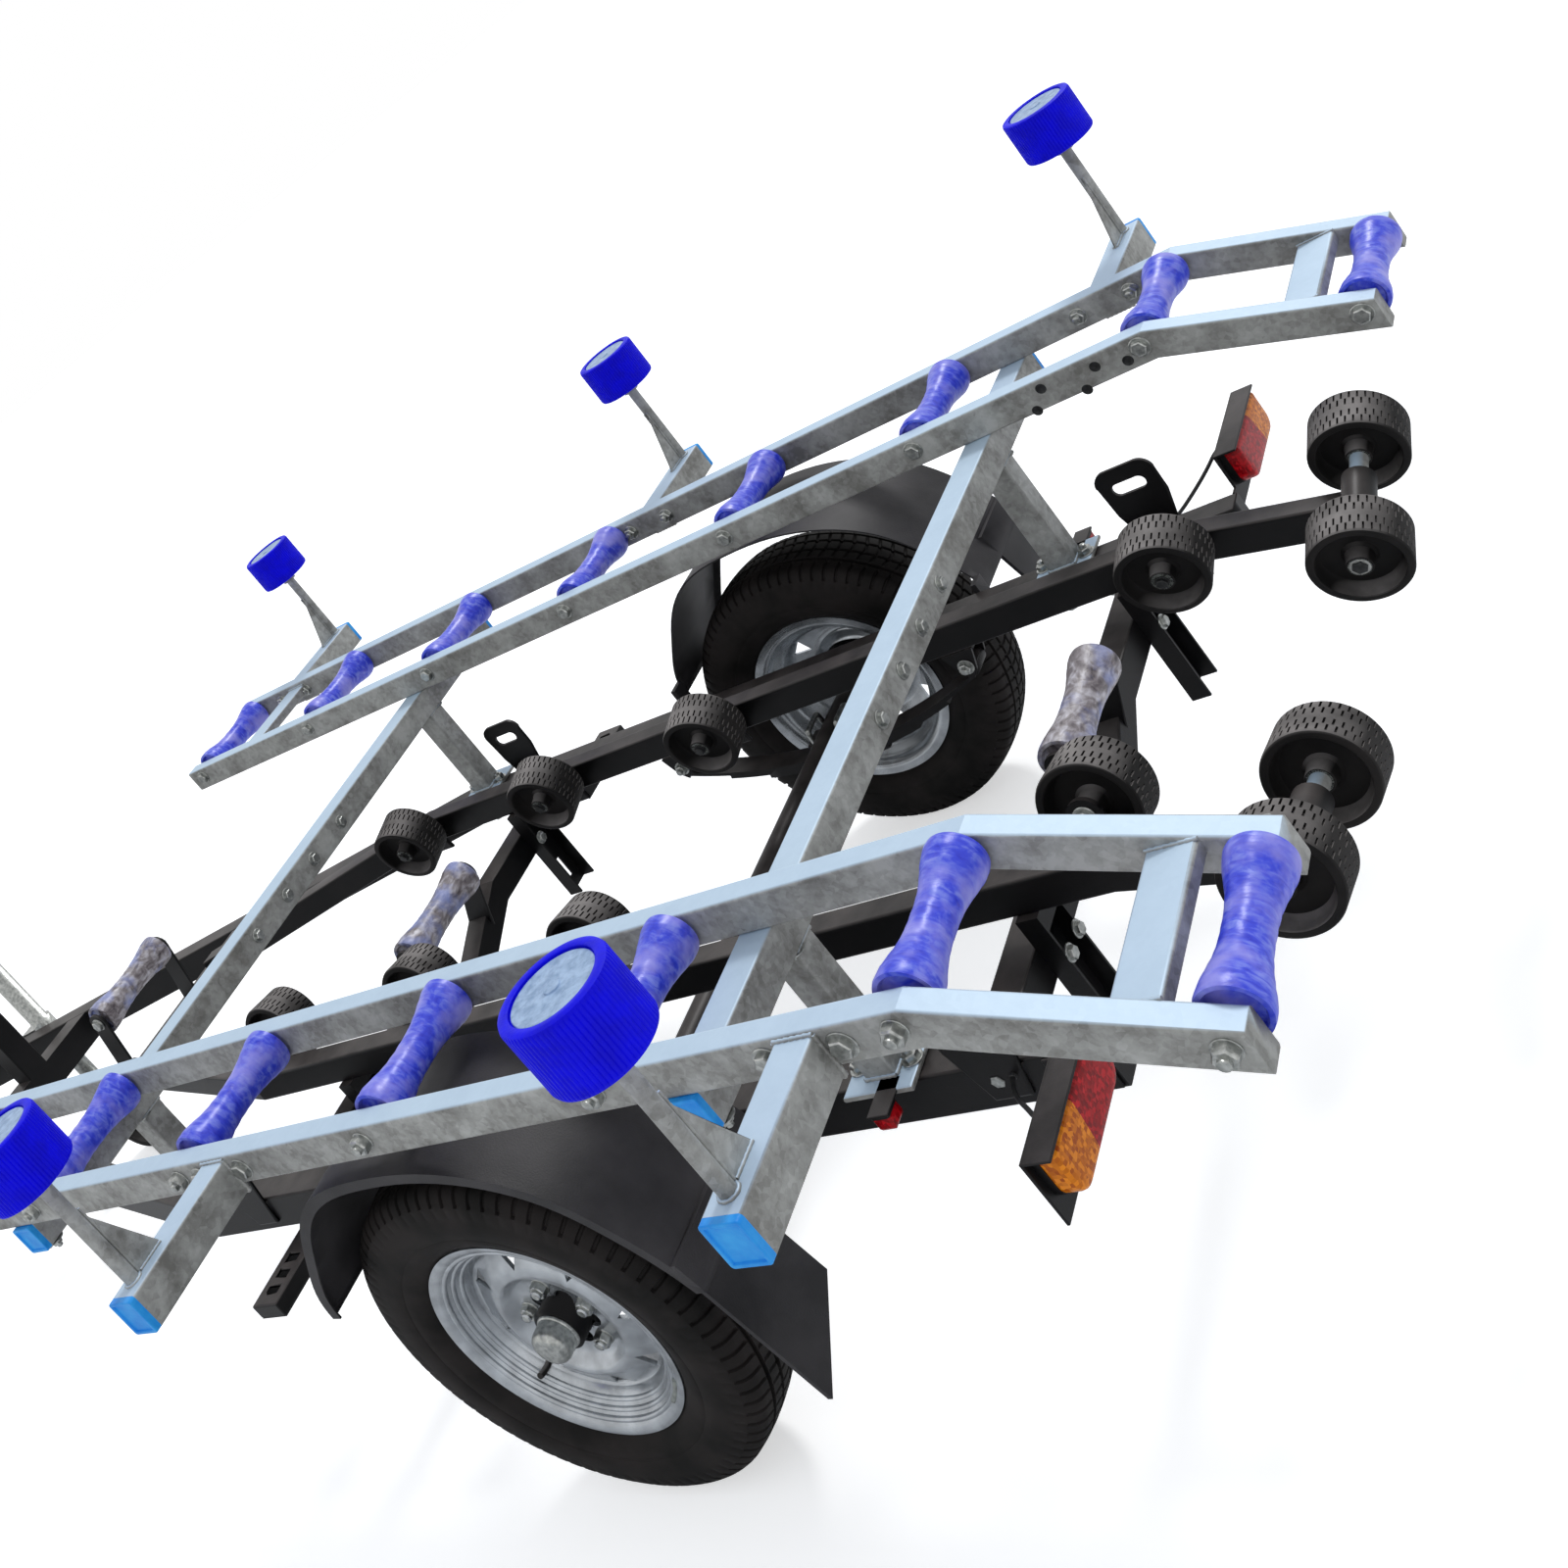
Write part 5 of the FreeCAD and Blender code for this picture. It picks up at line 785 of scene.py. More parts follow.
@dataclass
class RoadWheel:
    """Lacquered pressed wheel with its nuts, dust cap, valve and balance weight."""

    studs: int = 5
    pitch_radius: float = 56.0
    face_y: float = 701.5
    hub_end_y: float = 725.5
    axle_z: float = 297.0
    steps: Tuple[Vec, ...] = ((742.6, 180.0, 2.8), (735.0, 164.8, 4.6), (725.5, 156.8, 4.6),
                              (716.0, 148.8, 4.6))
    cap: Pairs = ((0.0, 0.0), (0.0, 30.0), (2.0, 31.0), (4.0, 30.5), (5.5, 28.6), (24.0, 28.6), (29.5, 26.6),
                  (33.0, 23.0), (34.7, 19.8), (34.9, 12.0), (34.9, 0.0))
    nut: Tuple[float, float] = (12.4, 12.6)
    stud: Tuple[float, float] = (7.3, 17.3)
    seat: Tuple[float, float] = (13.6, 1.6)
    valve: Tuple[Vec, ...] = ((106.0, 700.0, 215.0), (106.0, 711.0, 214.0), (105.0, 722.0, 216.0),
                              (103.0, 731.0, 220.0))
    weight_radius: float = 168.5
    weight_y: float = 739.0

    def build(self, yard: Yard, side: str, sign: float, lacquer: Material,
              metals: Sequence[Material]) -> None:
        """Builds one wheel.

        Args:
            yard: the trailer's places.
            side: name of the side.
            sign: 1 on the left, -1 on the right.
            lacquer: the wheel's finish.
            metals: finishes of the nuts and cap, the valve, the balance weight and the rim's steps.
        """
        body = "road_wheel_" + side
        stand_copy(yard.frame, "wheel_" + side, "lacquered_wheel_" + side, body, lacquer)
        surface = Surface()
        out = (0.0, sign, 0.0)
        for index in range(self.studs):
            angle = 2 * math.pi * index / self.studs
            spot = yard.at(self.pitch_radius * math.sin(angle), sign * self.face_y,
                           self.axle_z + self.pitch_radius * math.cos(angle))
            for form, size in ((hexagon, self.nut), (stud_end, self.stud), (washer, self.seat)):
                surface.grid(form(spot, out, *size))
        surface.grid(turned(self.cap, yard.at(0.0, sign * self.hub_end_y, self.axle_z), out, 48))
        turn = np.linspace(0.0, 2 * math.pi, 13)
        for step_y, radius, thick in self.steps:
            bead = np.stack([thick * np.cos(turn), radius - thick * np.sin(turn)], axis=-1)
            surface.grid(turned(bead, yard.at(0.0, sign * step_y, self.axle_z), out, 120), 3)
        surface.grid(swept([yard.at(x, sign * y, z) for x, y, z in self.valve], 4.6, 14), 1)
        arc = [yard.at(self.weight_radius * math.cos(angle), sign * self.weight_y,
                       self.axle_z + self.weight_radius * math.sin(angle))
               for angle in np.linspace(3.7, 4.0, 9)]
        surface.grid(swept(arc, 4.0, 10), 2)
        surface.piece("wheel_nuts_and_cap_" + side, metals, body, "zinc")


@dataclass
class WobbleRoller:
    """Dished rubber roller with four rows of short slits round its tread and a grey bush round its bolt."""

    radius: float = 64.0
    width: float = 69.0
    rim: float = 11.0
    web: float = 11.0
    hub: float = 17.0
    shoulder: float = 3.7
    slits: int = 40
    slit_depth: float = 4.2
    rows: Tuple[float, ...] = (-24.6, -11.2, 11.2, 24.6)
    row_half: float = 5.7
    spread: float = 104.0
    bolt_bore: float = 8.7
    tail_bore: float = 9.0
    stations: Tuple[float, ...] = (0.0, 0.07, 0.13, 0.37, 0.43, 0.57, 0.63, 0.87, 0.93)

    def profile(self, bore: float) -> np.ndarray:
        """Section from the bore over the tread and back."""
        half, tread = self.width / 2, self.radius - self.rim
        side = np.array([(-half, bore), (-half, self.hub - 1.5), (-half + 1.0, self.hub - 0.3),
                         (-half + 9.0, self.hub), (-self.web - 4.0, self.hub + 1.4),
                         (-self.web, self.hub + self.shoulder + 2.0),
                         (-self.web, tread - self.shoulder - 2.0), (-self.web - 4.0, tread - 2.0),
                         (-half + 7.0, tread), (-half + 1.2, tread + 0.3), (-half, tread + 1.6),
                         (-half, self.radius - self.shoulder), (-half + 1.1, self.radius - 1.3)])
        spots = [-half + self.shoulder]
        for row in self.rows[:2]:
            for way, gap in ((-1, 0.5), (-1, -0.5), (1, -0.5), (1, 0.5)):
                spots.append(row + way * (self.row_half + gap))
        top = np.stack([np.array(spots), np.full(len(spots), self.radius)], axis=-1)
        return mirrored(np.concatenate([side, top]))

    def relief(self, along: np.ndarray, radius: np.ndarray, angle: np.ndarray) -> np.ndarray:
        """Depth of the slits: each row has one per pitch, and neighbouring rows stand half a pitch apart."""
        depth = np.zeros_like(along)
        for number, row in enumerate(self.rows):
            wave = (angle * self.slits / (2 * math.pi) + 0.5 * (number % 2)) % 1.0
            cut = (np.minimum(wave, 1.0 - wave) < 0.1) & (np.abs(along - row) < self.row_half)
            depth = np.maximum(depth, self.slit_depth * (cut & (radius > self.radius - 1.0)))
        return -depth

    def add_to(self, surface: Surface, centre: np.ndarray, axis: np.ndarray, bore: float) -> None:
        """Adds one roller and its two bushes to a surface."""
        surface.grid(turned(self.profile(bore), centre, axis, relief=self.relief,
                            angles=pitch_angles(self.slits, self.stations)))
        half = self.width / 2
        bush = [(half - 8.0, bore + 0.2), (half - 8.0, 15.4), (half - 0.6, 15.4), (half, 14.4),
                (half, bore + 1.0), (half - 8.0, bore + 0.2)]
        for sign in (-1.0, 1.0):
            surface.grid(turned(np.array(bush)[::int(sign)] * np.array([sign, 1.0]), centre, axis, 32), 1)

    def build_all(self, yard: Yard, materials: Sequence[Material]) -> None:
        """Builds the eight single rollers and the two tail pairs in rubber, bush and galvanised steel."""
        for side, _ in SIDES:
            for index in range(1, WOBBLE_PINS + 1):
                body = "wobble_roll_%s_%d" % (side, index)
                centre, axis = yard.joint(body)
                surface = Surface()
                self.add_to(surface, centre, axis, self.bolt_bore)
                surface.piece("slit_roller_%s_%d" % (side, index), materials, body, "wobble_rubber",
                              node="wobble_roller_%s_%d" % (side, index))
            body = "tail_roll_" + side
            centre, axis = yard.joint(body)
            along = cross_axes(axis)[0]
            surface = Surface()
            for offset in (-self.spread, self.spread):
                self.add_to(surface, centre + along * offset * MM, axis, self.tail_bore)
            end = self.spread + self.width / 2
            bar = [(-end - 2.0, 8.8), (-end + 0.5, 8.8), (-self.spread, 12.0), (self.spread, 12.0),
                   (end - 0.5, 8.8), (end + 2.0, 8.8)]
            surface.grid(turned(bar, centre, axis, 32), 2)
            for sign in (-1.0, 1.0):
                tip = centre + along * sign * (end - 1.0) * MM
                surface.grid(washer(tip, along * sign, 13.0, 1.6), 2)
                surface.grid(hexagon(tip, along * sign, 10.5, 4.0), 3)
            surface.piece("slit_tail_rollers_" + side, materials, body, "wobble_rubber",
                          node="tail_rollers_" + side)


@dataclass
class WaistedRoller:
    """Keel or cradle roller: flared ends, a narrow waist and a loosely wound film."""

    length: float
    end_radius: float
    waist: float
    bore: float
    film: float = 0.8
    around: int = 72
    rows: int = 46

    def profile(self) -> np.ndarray:
        """Section from one end's bore over the flares and the waist to the other end."""
        half = self.length / 2
        share = np.linspace(-1.0, 1.0, self.rows)
        knots = np.array([0.0, 0.16, 0.34, 0.5, 0.67, 0.84, 0.97, 1.0])
        rise = np.array([0.0, 0.0, 0.12, 0.32, 0.66, 0.97, 1.0, 0.9])
        radius = self.waist + np.interp(np.abs(share), knots, rise) * (self.end_radius - self.waist)
        body = np.stack([share * half, radius], axis=-1)
        left = [(-half, self.bore), (-half + 4.0, self.bore + 5.0), (-half + 5.0, self.end_radius - 9.0),
                (-half, self.end_radius - 6.0)]
        return np.concatenate([left, body, np.array(left)[::-1] * MIRROR, left[:1]])

    def relief(self, along: np.ndarray, radius: np.ndarray, angle: np.ndarray) -> np.ndarray:
        """Creases of the film, always inwards: folds that cross each other askew, sharp at their bottoms."""
        first = np.abs(np.sin(2.0 * angle + along * 0.11 + 1.3 * np.sin(along * 0.05)))
        second = np.abs(np.sin(3.0 * angle - along * 0.17 + 0.8 * np.sin(3.0 * angle)))
        third = np.sin(7.0 * angle + along * 0.31)
        crease = self.film * (0.45 * first + 0.4 * second + 0.15 * third - 1.0)
        return np.where((np.abs(along) < self.length / 2 - 0.5) & (radius > self.waist - 1.0), crease, 0.0)

    def build(self, yard: Yard, body: str, node: str, material: Material) -> None:
        """Builds one roller in place of its node."""
        centre, axis = yard.joint(body)
        surface = Surface()
        surface.grid(turned(self.profile(), centre, axis, self.around, self.relief))
        surface.piece("filmed_" + node, [material], body, "keel_rubber", 50.0, node)


@dataclass
class GuideRoller:
    """Upright guide roller: fine ribs round its side, a raised rim and a pale crumpled disc in its top."""

    radius: float = 61.0
    height: float = 80.0
    recess_radius: float = 48.0
    recess: float = 4.5
    edge: float = 5.0
    ribs: int = 72
    rib_depth: float = 1.3
    bore: float = 10.7
    stations: Tuple[float, ...] = (0.0, 0.1, 0.3, 0.5, 0.7, 0.9)

    def relief(self, along: np.ndarray, radius: np.ndarray, angle: np.ndarray) -> np.ndarray:
        """Depth of the ribs: a rounded groove per pitch, on the side only."""
        wave = np.abs((angle * self.ribs / (2 * math.pi)) % 1.0 - 0.5)
        side = (np.abs(along) < self.height / 2 - self.edge + 0.2) & (radius > self.radius - 0.1)
        return -self.rib_depth * np.clip((wave - 0.2) / 0.3, 0.0, 1.0) * side

    def crumple(self, along: np.ndarray, radius: np.ndarray, angle: np.ndarray) -> np.ndarray:
        """Height of the disc's creases: low waves that cross askew and die out at its rim and its middle."""
        fade = np.clip((radius - 9.0) / 6.0, 0.0, 1.0) * np.clip((45.0 - radius) / 6.0, 0.0, 1.0)
        wide, fine = np.sin(3.0 * angle + radius * 0.16), np.sin(8.0 * angle - radius * 0.4)
        return -0.45 * fade * (1.0 + 0.6 * wide + 0.4 * fine)

    def build_all(self, yard: Yard, materials: Sequence[Material]) -> None:
        """Builds the six rollers, each with its disc."""
        half = self.height / 2
        floor = half - self.recess
        soft = self.edge * 0.3
        rows = [(-half, self.bore), (-half, self.radius - self.edge), (-half + soft, self.radius - soft),
                (-half + self.edge, self.radius), (-half + self.edge + 0.4, self.radius),
                (half - self.edge - 0.4, self.radius), (half - self.edge, self.radius),
                (half - soft, self.radius - soft), (half, self.radius - self.edge),
                (half, self.recess_radius + 1.2), (half - 0.8, self.recess_radius),
                (floor, self.recess_radius), (floor, 0.0), (floor - 7.0, 0.0), (floor - 7.0, self.bore),
                (-half, self.bore)]
        disc = [(floor, 46.4), (floor + 1.3, 46.4), (floor + 2.0, 45.6)]
        disc += [(floor + 2.2, float(radius)) for radius in range(43, 11, -4)]
        disc += [(floor + 2.2, 9.5), (floor + 3.6, 8.6), (floor + 3.6, 0.0), (floor, 0.0), (floor, 46.4)]
        for side, _ in SIDES:
            for index in range(1, len(ARM_X) + 1):
                place = "%s_%d" % (side, index)
                body = "guide_roll_" + place
                centre, axis = yard.joint(body)
                surface = Surface()
                surface.grid(turned(rows, centre, axis, relief=self.relief,
                                    angles=pitch_angles(self.ribs, self.stations)))
                surface.grid(turned(disc, centre, axis, 64, self.crumple), 1)
                surface.piece("ribbed_guide_" + place, materials, body, "guide_blue", 40.0,
                              "guide_roller_" + place)


@dataclass
class Fasteners:
    """Bolts, nuts, washers and U-bolts of the chassis, gathered in one bright piece."""

    surface: Surface = field(default_factory=Surface)

    def bolt(self, centre: Floats, axis: Floats, radius: float, height: float,
             plate: float = 14.5, mark: int = 0) -> None:
        """Adds a hexagon head on its washer."""
        along = cross_axes(np.asarray(axis, float))[0]
        self.surface.grid(washer(centre, axis, plate, 2.0), mark)
        self.surface.grid(hexagon(np.asarray(centre) + along * 2.0 * MM, axis, radius, height), mark)

    def nut(self, centre: Floats, axis: Floats, radius: float, height: float) -> None:
        """Adds a nut on its washer with the end of its bolt."""
        self.bolt(centre, axis, radius, height)
        along = cross_axes(np.asarray(axis, float))[0]
        top = np.asarray(centre) + along * (height + 1.5) * MM
        self.surface.grid(stud_end(top, axis, radius * 0.52, 6.0))

    def bar(self, path: Sequence[Floats]) -> None:
        """Adds a bent bar through points in metres, its corners rounded by blending neighbours."""
        points = np.asarray(path, float)
        steps = np.linspace(0.0, len(points) - 1.0, 12 * (len(points) - 1) + 1)
        line = np.stack([np.interp(steps, np.arange(len(points)), points[:, i]) for i in range(3)], axis=-1)
        padded = np.concatenate([line[:1], line, line[-1:]])
        for _ in range(4):
            padded[1:-1] = (padded[:-2] + 2.0 * padded[1:-1] + padded[2:]) / 4.0
            padded[1], padded[-2] = line[0], line[-1]
        self.surface.grid(swept(padded[1:-1], U_BOLT_RADIUS, 12))

    def shank(self, centre: np.ndarray, axis: Floats, low: float, high: float, radius: float) -> None:
        """Adds a plain round bar along the axis, from a low to a high length in mm."""
        section = [(low, 0.0), (low, radius), (high, radius), (high, 0.0)]
        self.surface.grid(turned(section, centre, axis, 20))

    def roller_bolts(self, yard: Yard) -> None:
        """Adds the bolts of all rollers, in the places of the plain pins."""
        for side, sign in SIDES:
            for index in range(1, CRADLE_PINS + 1):
                centre, _ = yard.joint("cradle_roll_%s_%d" % (side, index))
                spot = np.array([centre[0], 0.0, centre[2]])
                inner = spot + [0.0, sign * CRADLE_INNER_FACE_Y * MM, 0.0]
                outer = spot + [0.0, sign * CRADLE_OUTER_FACE_Y * MM, 0.0]
                self.shank(inner, (0.0, sign, 0.0), 0.0, CRADLE_OUTER_FACE_Y - CRADLE_INNER_FACE_Y, 8.0)
                self.nut(outer, (0.0, sign, 0.0), 13.2, 12.0)
                self.bolt(inner, (0.0, -sign, 0.0), 12.5, 8.0, 16.0)
            for index in range(1, WOBBLE_PINS + 1):
                centre, axis = yard.joint("wobble_roll_%s_%d" % (side, index))
                along = cross_axes(axis)[0]
                out = along * np.sign(along[1]) * sign
                self.shank(centre, out, -35.0, 49.0, 8.0)
                self.shank(centre, out, 34.8, 40.5, 12.0)
                self.bolt(centre - out * 34.6 * MM, -out, 8.4, 5.0, 9.4, 1)
                self.bolt(centre + out * 48.5 * MM, out, 11.0, 7.5)
        for index in range(1, KEEL_PINS + 1):
            centre, _ = yard.joint("keel_roll_%d" % index)
            self.shank(centre, (0.0, 1.0, 0.0), -KEEL_PIN_HALF, KEEL_PIN_HALF, 9.0)
            for sign in (-1.0, 1.0):
                self.bolt(centre + [0.0, sign * KEEL_PIN_HALF * MM, 0.0], (0.0, sign, 0.0), 12.0, 7.0)

    def side_bolts(self, yard: Yard, sign: float) -> None:
        """Adds one side's bolts of frame, portals, arms, lamps and hangers, and its axle's U-bolts."""
        for stations, offsets, places, z, axis, radius, height, plate, threaded in BOLT_ROWS:
            for x in [station + offset for station in stations for offset in offsets]:
                for y in places:
                    spot = yard.at(x, sign * y, z)
                    across = (axis[0], sign * axis[1], axis[2])
                    if threaded:
                        self.nut(spot, across, radius, height)
                    else:
                        self.bolt(spot, across, radius, height, plate)
        for x in U_BOLT_X:
            self.bar([yard.at(x, sign * (RAIL_MIDDLE_Y + dy), z) for dy, z in U_BOLT])

    def build(self, yard: Yard, materials: Sequence[Material]) -> None:
        """Builds the piece in plated and in dark steel."""
        self.roller_bolts(yard)
        for _, sign in SIDES:
            self.side_bolts(yard, sign)
        self.surface.piece("bright_fasteners", materials, "chassis", "zinc", node="roller_pins")


@dataclass
class WeldBeads:
    """Beads where the steel is welded, in two pieces: under the zinc and under the black coat.

    The lug's half length and its bead's place are in metres, like the joints that they follow.
    """

    wave_mm: float = 2.6
    ripple: float = 0.16
    ring_radius: float = 2.6
    lug_half: float = 0.023
    lug_y: float = 0.309
    lug_z: float = 0.5035

    def bead(self, surface: Surface, start: np.ndarray, end: np.ndarray, radius: float) -> None:
        """Adds a straight rippled bead between two points in metres."""
        surface.grid(swept(straight(start, end, self.wave_mm), radius, 7, self.ripple))

    def ring(self, surface: Surface, centre: np.ndarray, reach: float) -> None:
        """Adds a level bead round a post, its middle line at a reach in mm from the centre."""
        path = circle(centre, reach, int(2 * math.pi * reach / self.wave_mm))
        surface.grid(swept(path, self.ring_radius, 7, self.ripple))

    def square(self, surface: Surface, yard: Yard, low: Vec, high: Vec, radius: float = 3.0) -> None:
        """Adds beads along the four edges of a level or upright rectangle whose one side has no thickness."""
        flat = [i for i in range(3) if low[i] == high[i]][0]
        first, second = [i for i in range(3) if i != flat]
        for fixed, moving in ((first, second), (second, first)):
            for value in (low[fixed], high[fixed]):
                ends = [list(low), list(low)]
                for point, place in zip(ends, (low[moving], high[moving])):
                    point[fixed], point[moving] = value, place
                self.bead(surface, yard.at(*ends[0]), yard.at(*ends[1]), radius)

    def galvanised(self, yard: Yard, surface: Surface) -> None:
        """Adds the beads of the guide arms, their posts and gussets, the rungs, and the portals."""
        for _, sign in SIDES:
            for x in ARM_X:
                self.square(surface, yard, (x - 25.0, sign * 795.0, 686.0), (x + 25.0, sign * 795.0, 742.0))
                self.ring(surface, yard.at(x, sign * 978.0, 742.6), 11.0)
                for dx in (-3.2, 3.2):
                    for start, end, radius in GUSSET_BEADS:
                        self.bead(surface, yard.at(x + dx, sign * start[0], start[1]),
                                  yard.at(x + dx, sign * end[0], end[1]), radius)
            for x, top in RUNG_BEADS:
                for y in (553.2, 758.3):
                    ends = [yard.at(x + dx, sign * y, top) for dx in (-28.0, 28.0)]
                    self.bead(surface, *ends, 2.6)
            for x in PORTAL_X:
                for z, radius in ((646.0, 2.6), (449.0, 3.2)):
                    self.square(surface, yard, (x - 22.5, sign * 497.5, z),
                                (x + 22.5, sign * 542.5, z), radius)

    def black(self, yard: Yard, surface: Surface) -> None:
        """Adds the beads of the cross members and of the roller lugs."""
        for side, sign in SIDES:
            for x in CROSS_X:
                self.square(surface, yard, (x - 25.0, sign * (RAIL_INNER_Y - 0.5), 378.0),
                            (x + 25.0, sign * (RAIL_INNER_Y - 0.5), 428.0), 3.0)
            for index in range(1, WOBBLE_PINS + 1):
                centre, _ = yard.joint("wobble_roll_%s_%d" % (side, index))
                ends = [np.array([centre[0] + dx, sign * self.lug_y, self.lug_z])
                        for dx in (-self.lug_half, self.lug_half)]
                self.bead(surface, *ends, 2.6)

    def build(self, yard: Yard, zinc_skin: Material, coat: Material) -> None:
        """Builds both pieces."""
        bright, dark = Surface(), Surface()
        self.galvanised(yard, bright)
        self.black(yard, dark)
        bright.piece("galvanised_weld_beads", [zinc_skin], "chassis", "galvanised", 60.0)
        dark.piece("coated_weld_beads", [coat], "chassis", "black_paint", 60.0)


@dataclass
class PunchedHoles:
    """Empty bolt holes in the cradle rails: a dark mouth with a drawn-in lip on the face; the dark disc is
    painted shade, standing in for the shade inside a hole that is not cut.
    """

    radius: float = 8.5
    inner: Pairs = ((-714.0, 731.0), (-804.0, 727.0), (-689.0, 701.0), (-774.0, 699.0), (-851.0, 714.0))

    def mouth(self, centre: np.ndarray, axis: Floats) -> np.ndarray:
        """One hole's mouth: a thin dark disc with a low rim, standing on the rail's face as painted shade."""
        rows = [(0.0, 0.0), (0.0, self.radius), (0.35, self.radius - 0.2), (0.5, self.radius - 0.8),
                (0.2, self.radius - 1.4), (0.15, 0.0)]
        return turned(rows, centre, axis, 24)

    def build(self, yard: Yard, material: Material) -> None:
        """Builds all the mouths in one piece."""
        surface = Surface()
        for _, sign in SIDES:
            for x, z in self.inner:
                surface.grid(self.mouth(yard.at(x, sign * CRADLE_INNER_FACE_Y, z), (0.0, -sign, 0.0)))
        # The dark discs are painted shade where the rails have holes.
        surface.piece("empty_bolt_holes", [material], "chassis", "galvanised")


def outline(half: Floats, radii: Floats, inset: float) -> np.ndarray:
    """Closed outline of a rectangle with rounded corners.

    At each corner runs a quarter circle round the corner's own middle. The inset pushes the line inwards.

    Args:
        half: half of the width and of the height in mm.
        radii: corner radii in mm, from the first quarter on round.
        inset: how far the line is pushed in.

    Returns:
        Points across and up, the last one equal to the first.
    """
    corners = np.array([(1.0, 1.0), (-1.0, 1.0), (-1.0, -1.0), (1.0, -1.0)])
    round_off = np.maximum(np.asarray(radii, float) - inset, 0.05)
    turn = np.pi / 2 * np.arange(4)[:, None] + np.linspace(0.0, np.pi / 2, CORNER_POINTS)[None]
    middles = corners * (np.asarray(half, float) - inset - round_off[:, None])
    points = middles[:, None] + round_off[:, None, None] * np.stack([np.cos(turn), np.sin(turn)], axis=-1)
    flat = points.reshape(-1, 2)
    return np.append(flat, flat[:1], axis=0)


def stacked(centre: np.ndarray, across: Floats, up: Floats, half: Floats,
            radii: Floats, rows: Sequence[Tuple[float, float]]) -> np.ndarray:
    """Flat form with a shaped edge.

    The point of row u and angle v is the centre, plus the outline at v pushed in by the row's inset, plus the
    row's depth along the direction square to both others. A first and a last row in the middle close it.

    Args:
        centre: middle of its back, in metres.
        across: unit direction of its width.
        up: unit direction of its height.
        half: half of the width and of the height in mm.
        radii: corner radii in mm.
        rows: (inset, depth) in mm from the back to the front.

    Returns:
        Grid of points in metres.
    """
    across, up = np.asarray(across, float), np.asarray(up, float)
    out = np.cross(across, up)
    lines = [outline(half, radii, inset) for inset, _ in rows]
    depths = [depth for _, depth in rows]
    lines = [lines[0] * 0.0] + lines + [lines[-1] * 0.0]
    flat = np.stack(lines)
    deep = np.array([depths[0]] + depths + [depths[-1]])[:, None, None]
    return np.asarray(centre, float) + MM * (flat[..., :1] * across + flat[..., 1:] * up + deep * out)


@dataclass
class EndCaps:
    """Square plastic caps with a raised rim round a sunk face."""

    rim: float = 4.5
    rows: Pairs = ((0.0, 0.0), (0.0, 8.6), (0.5, 9.6), (1.4, 10.0), (4.0, 10.0), (4.8, 9.5), (5.6, 7.4),
                   (9.0, 7.2))

    def build(self, yard: Yard, material: Material) -> None:
        """Builds all the caps in one piece."""
        surface = Surface()
        for _, sign in SIDES:
            for stations, y, z, half_height in ((ARM_X, 1003.0, 714.0, 28.0), (PORTAL_X, 790.0, 672.0, 25.0)):
                for x in stations:
                    surface.grid(stacked(yard.at(x, sign * y, z), (-sign, 0.0, 0.0), (0.0, 0.0, 1.0),
                                         (25.0, half_height), (self.rim,) * 4, self.rows))
        surface.piece("rimmed_caps", [material], "chassis", "cap_blue", 20.0, "end_caps")


